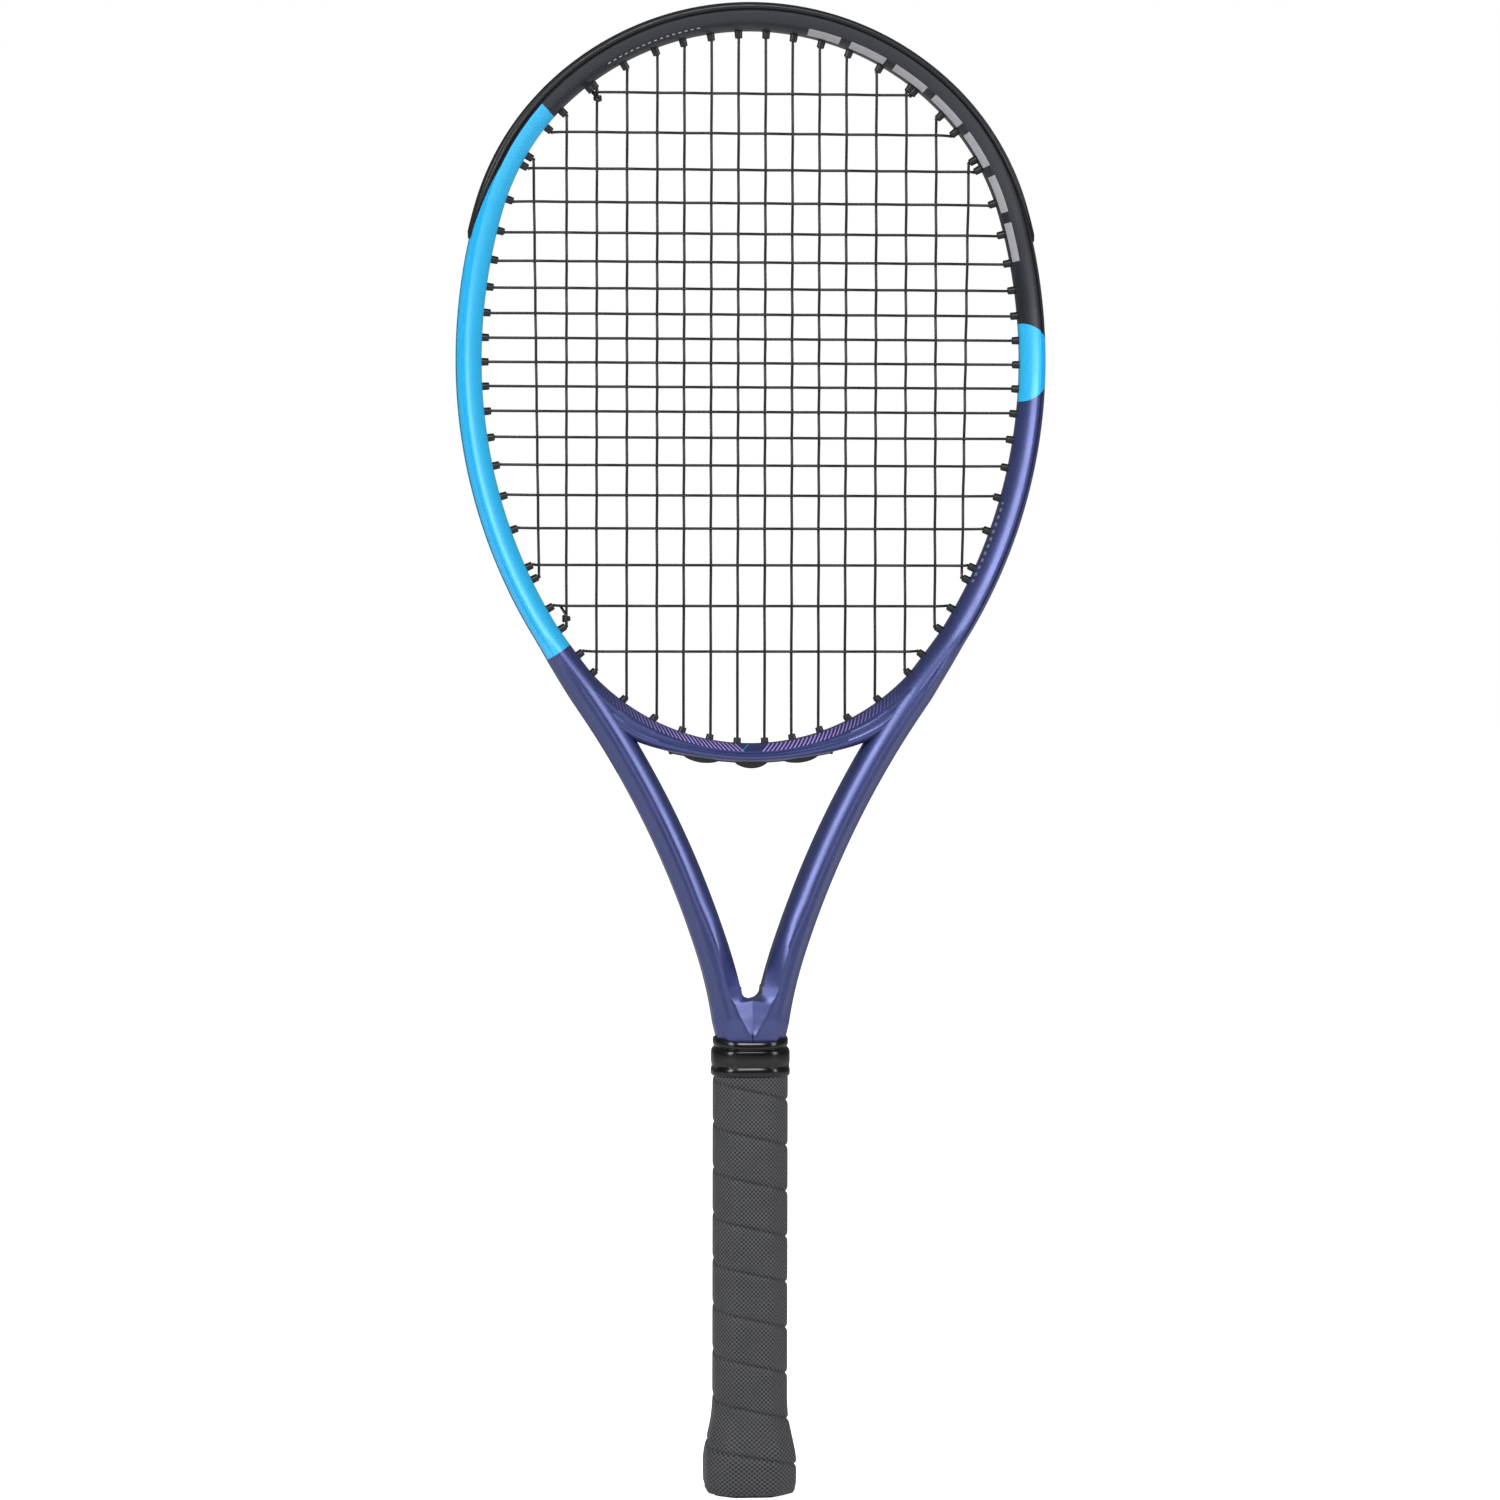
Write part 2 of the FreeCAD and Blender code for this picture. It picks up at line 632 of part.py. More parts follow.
def main_points(i, sign):
    top_out, top_bend = hole_points(TOP_HOLES[i], sign)
    low_out, low_bend = hole_points(BOTTOM_HOLES[i], sign)
    meetings = [crosses_at(i, sign, j) for j in range(CROSSES)]
    return [top_out, top_bend] + [p for p in meetings if p] + [low_bend, low_out]


def cross_points(j):
    left_out, left_bend = hole_points(CROSS_HOLES[j], -1)
    right_out, right_bend = hole_points(CROSS_HOLES[j], 1)
    order = [(i, -1) for i in reversed(range(MAINS_EACH_SIDE))] + [(i, 1) for i in range(MAINS_EACH_SIDE)]
    meetings = [crosses_at(i, sign, j) for i, sign in order]
    return [left_out, left_bend] + [V(p.x, -p.y, p.z) for p in meetings if p] + [right_bend, right_out]


def groove_point(s, side, sign):
    point, heading, size = hairpin_at(s)
    n = outward(heading)
    u = run_offset(size)
    return V(sign * (point[0] + n[0] * u), side, point[1] + n[1] * u)


def groove_path(start, end, sign, sides, lands=0.0):
    """Line of a string outside the frame from one hole to the next, stepping past other holes."""
    ahead = 1 if end.s > start.s else -1
    bend = min(RUN_BEND, 0.35 * abs(end.s - start.s))
    first, last = start.s + ahead * bend, end.s - ahead * bend
    middle = start.s + (end.s - start.s) * RUN_CHANGES_AT
    stops = [(first, sides[0])]
    if sides[0] != sides[1]:
        stops += [(middle - ahead * bend, sides[0]), (middle + ahead * bend, sides[1])]
    stops.append((last, sides[1]))
    a, b = start.along(start.reach - MOUTH), end.along(end.reach - MOUTH)
    points = [V(sign * a[0], 0, a[1]), groove_point(start.s, 0.0, sign)]
    for (s0, v0), (s1, v1) in zip(stops, stops[1:]):
        parts = max(1, int(abs(s1 - s0) / RUN_STEP))
        for k in range(parts):
            t = k / parts
            points.append(groove_point(s0 + (s1 - s0) * t, v0 + (v1 - v0) * t, sign))
    points.append(groove_point(last, sides[1], sign))
    return points + [groove_point(end.s, lands, sign), V(sign * b[0], lands, b[1])]


def groove_run(start, end, sign, sides):
    return rod(groove_path(start, end, sign, sides), STRING_RADIUS)


def top_run(sign, i, k):
    """Turn over the top of the head between two mains on the same side."""
    return groove_run(TOP_HOLES[i], TOP_HOLES[k], sign, (SIDE_STEP, SIDE_STEP))


def bridge_run(start, start_sign, end, end_sign):
    """Turn under the bridge between two mains."""
    (x, z), r = MIDDLE
    u = r + BRIDGE_WIDTH - GROOVE_FLOOR + FIT + STRIP_FLOOR + STRING_RADIUS + RUN_GAP
    a, b = start.along(start.reach - MOUTH), end.along(end.reach - MOUTH)
    points = [V(start_sign * a[0], 0, a[1])]
    h0, h1 = 180 - start_sign * (180 - start.s), 180 - end_sign * (180 - end.s)
    for k in range(4):
        n = outward(h0 + (h1 - h0) * k / 3)
        points.append(V(x + n[0] * u, 0, z + n[1] * u))
    points.append(V(end_sign * b[0], 0, b[1]))
    return rod(points, STRING_RADIUS)


def main_runs():
    """Turns between mains; the seventh and eighth pass cross holes on the way."""
    runs = []
    for sign in (-1, 1):
        runs += [top_run(sign, i, i + 1) for i in range(0, MAINS_EACH_SIDE, 2)]
        runs.append(bridge_run(BOTTOM_HOLES[1], sign, BOTTOM_HOLES[2], sign))
        for i in (3, 5):
            runs.append(groove_run(BOTTOM_HOLES[i + 1], BOTTOM_HOLES[i], sign, (SIDE_STEP, SIDE_STEP)))
    runs.append(bridge_run(BOTTOM_HOLES[0], -1, BOTTOM_HOLES[0], 1))
    return runs


def cross_runs():
    """Turns between crosses, and the run that brings the string from the last main to the crosses."""
    runs = []
    for j in range(CROSSES - 1):
        sign = 1 if j % 2 == 0 else -1
        runs.append(groove_run(CROSS_HOLES[j], CROSS_HOLES[j + 1], sign, (-SIDE_STEP, -SIDE_STEP)))
    last_main, last_cross = BOTTOM_HOLES[-1], CROSS_HOLES[-1]
    runs.append(groove_run(last_main, last_cross, 1, (SIDE_STEP, -SIDE_STEP)))
    return runs


def knot(hole, points, beyond, start):
    """Tied-off end: along the groove, in through the shared barrel, and wound round the main."""
    bend, ahead = points[0], points[1]
    direction = (ahead - bend).normalize()
    path = groove_path(start, hole, -1, (SIDE_STEP, SIDE_STEP), TAIL_STEP)[:-1]
    path.append(V(bend.x, TAIL_STEP, bend.z))
    path.append(bend + direction * beyond + V(0, TAIL_STEP + TAIL_CLEAR, 0))
    parts = [rod(path, STRING_RADIUS)]
    for k in range(KNOT_TURNS):
        centre = bend + direction * (beyond + KNOT_PITCH * k)
        parts.append(Part.makeTorus(KNOT_RING, KNOT_WIRE, centre, direction))
    last = bend + direction * (beyond + KNOT_PITCH * (KNOT_TURNS - 1)) + V(0, KNOT_RING, 0)
    parts.append(rod([last, last + V(*TAIL_DIRECTION).normalize() * TAIL_LENGTH], STRING_RADIUS))
    return parts[0].fuse(parts[1:])


# ---------------------------------------------------------------- the handle
def octagon(z, add=0.0, width=PALLET_WIDTH, depth=PALLET_DEPTH):
    """Handle octagon at a height, grown by an amount in width and depth."""
    w, d = (width + add) / 2, (depth + add) / 2
    grown = width + add - PALLET_WIDTH
    bx, by = BEVEL_X + grown * BEVEL_GROWTH, BEVEL_Y + grown * BEVEL_GROWTH
    corners = [(w, d - by), (w - bx, d), (bx - w, d), (-w, d - by), (-w, by - d), (bx - w, -d),
               (w - bx, -d), (w, by - d)]
    points = [V(x, y, z) for x, y in corners]
    return Part.makePolygon(points + points[:1])


def sleeve(wires):
    return Part.makeLoft(wires, True, True)


def grip_levels():
    """Heights and growth of whatever the grip is wrapped on."""
    levels = [(max(z, GRIP_BOTTOM), add) for z, add in CAP_FLARE[1:]]
    return levels + [(CAP_FLARE[-1][0] + 4.0, 0.0), (GRIP_TOP, 0.0)]


def cap_growth(height):
    """How much the butt cap adds to the pallet's width and depth at a height."""
    for (z0, a0), (z1, a1) in zip(CAP_FLARE, CAP_FLARE[1:]):
        if height <= z1:
            return a0 + (a1 - a0) * (height - z0) / (z1 - z0)


def butt_cap(staples):
    outside = sleeve([octagon(z, add) for z, add in CAP_FLARE])
    bore = sleeve([octagon(PALLET_BOTTOM - FIT, SLIP), octagon(CAP_FLARE[-1][0] + 1, SLIP)])
    return outside.cut([bore] + staples)


def grip_tape():
    outside = sleeve([octagon(z, add + SLIP + 2 * GRIP_THICKNESS) for z, add in grip_levels()])
    levels = grip_levels()
    levels[0] = (levels[0][0] - 0.5, levels[0][1])
    levels[-1] = (GRIP_TOP + 1, 0.0)
    return outside.cut(sleeve([octagon(z, add + SLIP) for z, add in levels]))


def finishing_tape():
    grip = SLIP + 2 * GRIP_THICKNESS + SLIP
    low, high = TAPE_SPAN
    outside = sleeve([octagon(z, grip + 2 * TAPE_THICKNESS) for z in (low, high)])
    return outside.cut(sleeve([octagon(low - 1, grip), octagon(high + 1, grip)]))


def collar():
    outside = sleeve([octagon(z, 0, w, w - COLLAR_DEPTH_LESS) for z, w in COLLAR_OUTSIDE])
    levels = list(COLLAR_BORE)
    levels[0] = (levels[0][0] - 1, *levels[0][1:])
    levels[-1] = (levels[-1][0] + 1, *levels[-1][1:])
    return outside.cut(sleeve([octagon(z, 0, w, d) for z, w, d in levels]))


def staple(side):
    """Wire staple driven through the butt cap into the foam, on the front or the back."""
    wide, thick = STAPLE_WIRE
    face = (PALLET_DEPTH + cap_growth(STAPLE_HEIGHT)) / 2 - STAPLE_SUNK
    low = STAPLE_HEIGHT - wide / 2
    crown = Part.makeBox(STAPLE_CROWN, thick, wide, V(-STAPLE_CROWN / 2, face - thick, low))
    legs = [Part.makeBox(thick, STAPLE_LEG, wide, V(x, face - STAPLE_LEG, low))
            for x in (-STAPLE_CROWN / 2, STAPLE_CROWN / 2 - thick)]
    shape = fused([crown] + legs)
    return shape if side > 0 else shape.mirror(V(0, 0, 0), V(0, 1, 0))


def tack():
    """Tack that holds the start of the grip to the cap, on the left-hand side."""
    head_radius, head_height = TACK_HEAD
    radius, length = TACK_SHANK
    face = -(PALLET_WIDTH + cap_growth(TACK_HEIGHT)) / 2 - FIT
    head = Part.makeCylinder(head_radius, head_height, V(face, 0, TACK_HEIGHT), V(1, 0, 0))
    return fused([head, Part.makeCylinder(radius, length, V(face, 0, TACK_HEIGHT), V(1, 0, 0))])


# ---------------------------------------------------------------- assembly
def tied_holes():
    return [TOP_HOLES[TOP_TIED], BOTTOM_HOLES[BOTTOM_TIED]]


def string_holes(side, bridge):
    """Drill for every barrel on one side, a little larger than the barrel."""
    drills = []
    for hole in TOP_HOLES + CROSS_HOLES + BOTTOM_HOLES:
        if hole.in_bridge != bridge:
            continue
        tied = side < 0 and hole in tied_holes()
        for step in (0.0, TAIL_STEP) if tied else (0.0,):
            drill = hole.cylinder(BARREL_RADIUS + HOLE_CLEARANCE, -1.0, hole.reach + 2.0, step)
            drills.append(drill if side > 0 else mirrored(drill))
    return drills


def beyond(x):
    """Boxes over everything of the bridge that lies further out than x, left and right."""
    box = Part.makeBox(100, 60, 300, V(x, -30, 250))
    return [box, mirrored(box)]


def build():
    parts = {}
    guard_s = s_at_heading(GUARD_END)
    strip_end = BOTTOM_HOLES[INNER_MAINS - 1].s + STRIP_BEYOND
    strip_s = guard_s + STRIP_END_GAP

    blank = frame_blank()
    bridge = bridge_blank(bridge_outline())
    blank = fused([blank] + [bridge.common(end) for end in beyond(BRIDGE_ENDS_X)])
    deep = GROOVE_FLOOR + BRIDGE_GROOVE_WALL
    hollow = bridge_blank(bridge_outline(TUBE_WALL, deep)).cut(beyond(BRIDGE_HOLLOW_TO))
    half = THROAT_LIP_HALF + THROAT_GROOVE_GAP
    throat_groove = bridge_ring([(-GROOVE_FLOOR, half), (BUMP_RISE + 0.5, half)],
                                THROAT_STRIP_HALF_ANGLE + THROAT_GROOVE_BEYOND)
    drills = string_holes(1, False) + string_holes(-1, False)
    throat_drills = string_holes(1, True) + string_holes(-1, True)
    parts["throat_bridge"] = bridge.cut([blank]).cut([hollow, throat_groove] + throat_drills + drills)
    seat = sweep(seat_outline, 0, guard_s + SEAT_GAP)
    groove = sweep(groove_outline, guard_s - 0.5, strip_end + GROOVE_BEYOND)
    hollow_tools = [frame_cavity(), seat, mirrored(seat), groove, mirrored(groove)]
    parts["frame_hairpin"] = blank.cut(hollow_tools).cut(drills)

    guard = both(sweep(guard_outline, 0, guard_s))
    solids, bores = barrels(side_holes(-1, guard_s))
    left, left_bores = barrels(side_holes(-1, guard_s), tied_holes())
    guard = fused([guard] + solids + [mirrored(s) for s in left])
    parts["head_bumper_guard"] = guard.cut(bores + [mirrored(b) for b in left_bores])
    strip = sweep(strip_outline, strip_s, strip_end)
    holes = side_holes(guard_s, strip_end)
    parts["right_grommet_strip"] = strip_with_barrels(strip, holes)
    parts["left_grommet_strip"] = mirrored(strip_with_barrels(strip, holes, tied_holes()))
    parts["throat_grommet_strip"] = throat_strip()

    mains = [main_points(i, sign) for sign in (-1, 1) for i in range(MAINS_EACH_SIDE)]
    parts["main_strings"] = Part.makeCompound([rod(p, STRING_RADIUS) for p in mains])
    crosses = [rod(cross_points(j), STRING_RADIUS) for j in range(CROSSES)]
    parts["cross_strings"] = Part.makeCompound(crosses)
    parts["main_string_turns"] = Part.makeCompound(main_runs())
    parts["cross_string_turns"] = Part.makeCompound(cross_runs())
    upper = main_points(TOP_TIED, -1)
    parts["upper_string_knot"] = knot(TOP_HOLES[TOP_TIED], upper[1:], UPPER_KNOT_BEYOND, CROSS_HOLES[0])
    lower = main_points(BOTTOM_TIED, -1)[::-1]
    parts["lower_string_knot"] = knot(BOTTOM_HOLES[BOTTOM_TIED], lower[1:], LOWER_KNOT_BEYOND,
                                      BOTTOM_HOLES[-1])

    staples = [staple(1), staple(-1)]
    foam = sleeve([octagon(PALLET_BOTTOM), octagon(PALLET_TOP)])
    parts["handle_pallet"] = foam.cut([frame_blank()] + staples)
    parts["butt_cap"] = butt_cap(staples + [tack()])
    parts["butt_cap_staples"] = Part.makeCompound(staples)
    parts["grip_tack"] = tack()
    parts["grip_tape"] = grip_tape()
    parts["finishing_tape"] = finishing_tape()
    parts["grip_collar"] = collar()
    return parts


def main():
    os.makedirs("parts", exist_ok=True)
    for name, shape in build().items():
        if not shape.isValid():
            raise ValueError(name + " is not a valid solid")
        shape.exportStep("parts/" + name + ".step")
        print(name, len(shape.Solids), "solids", round(shape.Volume), "mm3")


main()
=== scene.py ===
import math

import bmesh
import bpy
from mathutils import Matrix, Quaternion, Vector


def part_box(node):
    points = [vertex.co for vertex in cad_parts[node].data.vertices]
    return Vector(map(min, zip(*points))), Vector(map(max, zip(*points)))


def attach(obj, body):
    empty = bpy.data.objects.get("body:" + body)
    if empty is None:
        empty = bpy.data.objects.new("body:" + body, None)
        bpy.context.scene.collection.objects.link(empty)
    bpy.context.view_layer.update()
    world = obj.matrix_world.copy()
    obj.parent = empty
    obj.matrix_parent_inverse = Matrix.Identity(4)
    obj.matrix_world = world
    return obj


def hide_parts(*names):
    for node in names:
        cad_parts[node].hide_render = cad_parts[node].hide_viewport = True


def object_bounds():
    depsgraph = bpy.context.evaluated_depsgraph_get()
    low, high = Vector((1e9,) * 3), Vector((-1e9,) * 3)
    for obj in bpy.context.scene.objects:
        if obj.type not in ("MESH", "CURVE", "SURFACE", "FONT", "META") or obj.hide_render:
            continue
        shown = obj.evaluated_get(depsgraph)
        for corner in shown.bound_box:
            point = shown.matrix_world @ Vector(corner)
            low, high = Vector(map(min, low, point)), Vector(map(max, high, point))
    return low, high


bl_info = {
    "name": "Strung Tennis Racket",
    "version": (1, 0, 0),
    "blender": (4, 5, 0),
    "location": "View3D > Sidebar > Racket",
    "description": "Builds a strung tennis racket round its packed frame, piece by piece",
    "category": "Object",
}

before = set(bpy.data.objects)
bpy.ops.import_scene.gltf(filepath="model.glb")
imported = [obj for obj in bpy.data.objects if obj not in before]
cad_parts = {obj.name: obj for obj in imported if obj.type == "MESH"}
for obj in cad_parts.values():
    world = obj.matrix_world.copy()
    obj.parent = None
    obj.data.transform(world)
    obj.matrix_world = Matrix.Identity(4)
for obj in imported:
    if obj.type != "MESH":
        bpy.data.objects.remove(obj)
CAD_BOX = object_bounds()
BODY = "root"
MM = 0.001

# The hairpin's middle line, right half, from the top of the head: (radius, degrees turned).
HEAD_ARCS = [(0.1285, 42.9), (0.1162, 31.0), (0.2506, 16.1), (0.236, 32.3)]
SHOULDER_ARC = (0.552, 3.0)
LEG_ARCS = [(0.437, -17.8), (0.201, -9.1)]
HEAD_Z = 0.521
INNER_ABOVE = 0.1512
HOOP_SIZE = (0.0116, 0.023)
SHAFT_SIZE = (0.0147, 0.025)
CORE_SIZE = (0.0123, 0.020)
CORE_TOP = 0.196
CORE_X = 0.00605
BRIDGE_LEAVES = 116.0
BRIDGE_SIDE_ARC = (0.220, 10.0)
BRIDGE_SIZE = (0.0085, 0.0206)
NOTCH_Z = 0.2284
NOTCH_RADIUS = 0.005
GROOVE_FLOOR = 0.0026
GROOVE_HALF = 0.00415
GUARD_END = 77.5
STRIP_END = 0.433
SHOULDER_HEADINGS = (140.0, 157.0)


# ---------------------------------------------------------------- settings
class RacketFrameSettings(bpy.types.PropertyGroup):
    """Paint of the hollow frame and the colour of its moulded strips."""

    upper: bpy.props.StringProperty(name="Upper hoop", description="Satin charcoal lacquer",
                                    default="#22242C")
    band: bpy.props.StringProperty(name="Bands", description="Bright cyan lacquer", default="#30BFF8")
    lower: bpy.props.StringProperty(name="Lower hoop and shafts", description="Indigo flake lacquer",
                                    default="#464E84")
    marks: bpy.props.StringProperty(name="Printed marks", description="Pale printed bars",
                                    default="#ABAAAF")
    hatch: bpy.props.StringProperty(name="Hatching", description="Violet lines on the bridge",
                                    default="#AE92E2")
    nylon: bpy.props.StringProperty(name="Grommet strips", description="Black moulded nylon",
                                    default="#15171B")
    left_band_start: bpy.props.FloatProperty(name="Left band starts", default=0.1075, unit="LENGTH",
                                             description="Distance from the top of the head")
    left_band_end: bpy.props.FloatProperty(name="Left band ends", default=0.371, unit="LENGTH",
                                           description="Distance from the top of the head")
    ring_step: bpy.props.FloatProperty(name="Ring step", default=0.003, unit="LENGTH",
                                       description="Distance between the mesh rings along the tube")


class RacketStringSettings(bpy.types.PropertyGroup):
    """The string, its pattern and its barrels."""

    gauge: bpy.props.FloatProperty(name="Gauge", description="Diameter of the string",
                                   default=0.0013, unit="LENGTH")
    weave: bpy.props.FloatProperty(name="Weave", description="Height of a string over the middle plane",
                                   default=0.00066, unit="LENGTH")
    barrel: bpy.props.FloatProperty(name="Barrel", description="Outer diameter of a grommet barrel",
                                    default=0.0039, unit="LENGTH")
    stands_in: bpy.props.FloatProperty(name="Barrel length", default=0.0033, unit="LENGTH",
                                       description="Barrel beyond the frame's inner edge")
    colour: bpy.props.StringProperty(name="String", description="Black monofilament", default="#121214")


class RacketHandleSettings(bpy.types.PropertyGroup):
    """Grip, collar and butt cap."""

    pitch: bpy.props.FloatProperty(name="Wrap pitch", description="Rise of the grip strip in one turn",
                                   default=0.0210, unit="LENGTH")
    hole_pitch: bpy.props.FloatProperty(name="Perforation pitch", default=0.0020, unit="LENGTH",
                                        description="Distance between the grip's perforations")
    grip: bpy.props.StringProperty(name="Grip", description="Dark grey synthetic leather",
                                   default="#4A4B50")
    rubber: bpy.props.StringProperty(name="Collar", description="Black rubber", default="#0B0B0D")
    cap: bpy.props.StringProperty(name="Butt cap", description="Black moulded plastic",
                                  default="#202124")


class RacketStageSettings(bpy.types.PropertyGroup):
    """Camera, floor and lights."""

    azimuth: bpy.props.FloatProperty(name="Camera azimuth", default=math.radians(-6.2),
                                     subtype="ANGLE", description="Angle round the racket")
    distance: bpy.props.FloatProperty(name="Camera distance", default=2.7, unit="LENGTH",
                                      description="Distance from the racket's middle line")
    height: bpy.props.FloatProperty(name="Camera height", default=0.430, unit="LENGTH",
                                    description="Height of the camera above the floor")
    aim: bpy.props.FloatProperty(name="Aim height", default=0.343, unit="LENGTH",
                                 description="Height that the camera points at")
    aside: bpy.props.FloatProperty(name="Aim aside", default=-0.0004, unit="LENGTH",
                                   description="Sideways offset of the point aimed at")
    roll: bpy.props.FloatProperty(name="Camera roll", default=0.0020, subtype="ANGLE",
                                  description="Turn of the camera about its own axis")
    floor: bpy.props.StringProperty(name="Floor", description="Plain pale floor", default="#FFFFFF")


# ---------------------------------------------------------------- colours and nodes
def linear(colour):
    """Linear RGBA of an sRGB hex colour."""
    values = [int(colour[i:i + 2], 16) / 255 for i in (1, 3, 5)]
    return [v / 12.92 if v <= 0.04045 else ((v + 0.055) / 1.055) ** 2.4 for v in values] + [1.0]


def add(tree, kind, inputs=None, **settings):
    """Add a node with its settings; an input takes a value, a socket or a node's first output."""
    node = tree.nodes.new(kind)
    for name, value in settings.items():
        setattr(node, name, value)
    for key, value in (inputs or {}).items():
        if isinstance(value, bpy.types.Node):
            value = value.outputs[0]
        if isinstance(value, bpy.types.NodeSocket):
            tree.links.new(value, node.inputs[key])
        else:
            node.inputs[key].default_value = value
    return node


def new_material(name):
    """Material with an empty tree; returns both."""
    material = bpy.data.materials.new(name)
    material.use_nodes = True
    tree = material.node_tree
    tree.nodes.clear()
    return material, tree


def finish_surface(tree, inputs):
    """Principled surface with the given inputs, joined to the material's output."""
    shader = add(tree, "ShaderNodeBsdfPrincipled", inputs)
    add(tree, "ShaderNodeOutputMaterial", {"Surface": shader})


def grain(tree, millimetres, detail=2.0):
    """Noise over the piece whose features are about the given size."""
    place = add(tree, "ShaderNodeTexCoord").outputs["Object"]
    return add(tree, "ShaderNodeTexNoise", {"Vector": place, "Scale": 1000 / millimetres,
                                            "Detail": detail})


# ---------------------------------------------------------------- lacquer
FLAKE_MM = 0.45               # flakes are 0.05 mm in life; drawn this coarse so that they show


def tube_place(tree):
    """Distance along a tube and distance across it, from its UV map."""
    parts = add(tree, "ShaderNodeSeparateXYZ", {0: add(tree, "ShaderNodeUVMap", uv_map="tube")})
    return parts.outputs[0], parts.outputs[1]


def flaked(tree, colour, flake):
    """The colour, slightly darker and lighter from flake to flake."""
    value = add(tree, "ShaderNodeMapRange", {0: flake, 1: 0.35, 2: 0.65, 3: 0.93, 4: 1.08})
    return add(tree, "ShaderNodeHueSaturation", {"Value": value, "Color": colour})


def finish_lacquer(tree, flake, inputs):
    """Lacquer's surface: the faint relief of the flake under a thin clear coat."""
    bump = add(tree, "ShaderNodeBump", {"Strength": 0.04, "Distance": 0.0001, "Height": flake})
    finish_surface(tree, {"Normal": bump, "IOR": 1.5, "Coat Weight": 0.35, "Coat Roughness": 0.22,
                          **inputs})


def right_band_masks(tree, along, out):
    """Where the right-hand band has begun and where it has ended; it narrows towards the outside."""
    squared = add(tree, "ShaderNodeMath", {0: out, 1: out}, operation="MULTIPLY")
    flare = add(tree, "ShaderNodeMath", {0: squared, 1: -RIGHT_BAND_CURVE, 2: RIGHT_BAND_HALF},
                operation="MULTIPLY_ADD")
    half = add(tree, "ShaderNodeMath", {0: flare, 1: RIGHT_BAND_LEAST}, operation="MAXIMUM")
    offset = add(tree, "ShaderNodeMath", {0: along, 1: RIGHT_BAND_AT}, operation="SUBTRACT")
    entered = add(tree, "ShaderNodeMath", {0: offset, 1: half}, operation="ADD")
    begun = add(tree, "ShaderNodeMath", {0: entered, 1: 0.0}, operation="GREATER_THAN")
    ended = add(tree, "ShaderNodeMath", {0: offset, 1: half}, operation="GREATER_THAN")
    return begun, ended


def left_band_masks(tree, settings, along, out):
    """The same on the left, where the band keeps inside the ridge beside the guard, then widens."""
    begun = add(tree, "ShaderNodeMath", {0: along, 1: -settings.left_band_start}, operation="LESS_THAN")
    ended = add(tree, "ShaderNodeMath", {0: along, 1: -settings.left_band_end}, operation="LESS_THAN")
    past = add(tree, "ShaderNodeMath", {0: WING_TAPER - GUARD_S, 1: along}, operation="SUBTRACT")
    opening = add(tree, "ShaderNodeMath", {0: past, 1: 0.0}, operation="MAXIMUM")
    limit = add(tree, "ShaderNodeMath", {0: opening, 1: LEFT_BAND_SPREAD, 2: RIDGE * HOOP_SIZE[0]},
                operation="MULTIPLY_ADD")
    inside = add(tree, "ShaderNodeMath", {0: out, 1: limit}, operation="LESS_THAN")
    return add(tree, "ShaderNodeMath", {0: begun, 1: inside}, operation="MULTIPLY"), ended


def lacquer_colour(tree, settings, along, out):
    """Charcoal over the top of the head, cyan bands, indigo below, and where the indigo is."""
    right_begun, right_ended = right_band_masks(tree, along, out)
    left_begun, left_ended = left_band_masks(tree, settings, along, out)
    is_band = add(tree, "ShaderNodeMath", {0: left_begun, 1: right_begun}, operation="MAXIMUM")
    is_lower = add(tree, "ShaderNodeMath", {0: left_ended, 1: right_ended}, operation="MAXIMUM")
    upper = add(tree, "ShaderNodeMix", {0: is_band, 6: linear(settings.upper), 7: linear(settings.band)},
                data_type="RGBA").outputs[2]
    whole = add(tree, "ShaderNodeMix", {0: is_lower, 6: upper, 7: linear(settings.lower)},
                data_type="RGBA").outputs[2]
    return whole, is_lower


def printed_bars(tree, along, out):
    """Rows of plain dashes on the inner facet."""
    total = 0.0
    for start, end, pitch, share, low, high in DASHES:
        span = add(tree, "ShaderNodeMath", {0: along, 1: (start + end) / 2, 2: (end - start) / 2},
                   operation="COMPARE")
        steps = add(tree, "ShaderNodeMath", {0: along, 1: pitch}, operation="DIVIDE")
        step = add(tree, "ShaderNodeMath", {0: steps}, operation="FRACT")
        dash = add(tree, "ShaderNodeMath", {0: step, 1: share}, operation="LESS_THAN")
        tall = add(tree, "ShaderNodeMath", {0: out, 1: (low + high) / 2, 2: (high - low) / 2},
                   operation="COMPARE")
        dashes = add(tree, "ShaderNodeMath", {0: span, 1: dash}, operation="MULTIPLY")
        row = add(tree, "ShaderNodeMath", {0: dashes, 1: tall}, operation="MULTIPLY")
        total = add(tree, "ShaderNodeMath", {0: total, 1: row}, operation="ADD")
    return total


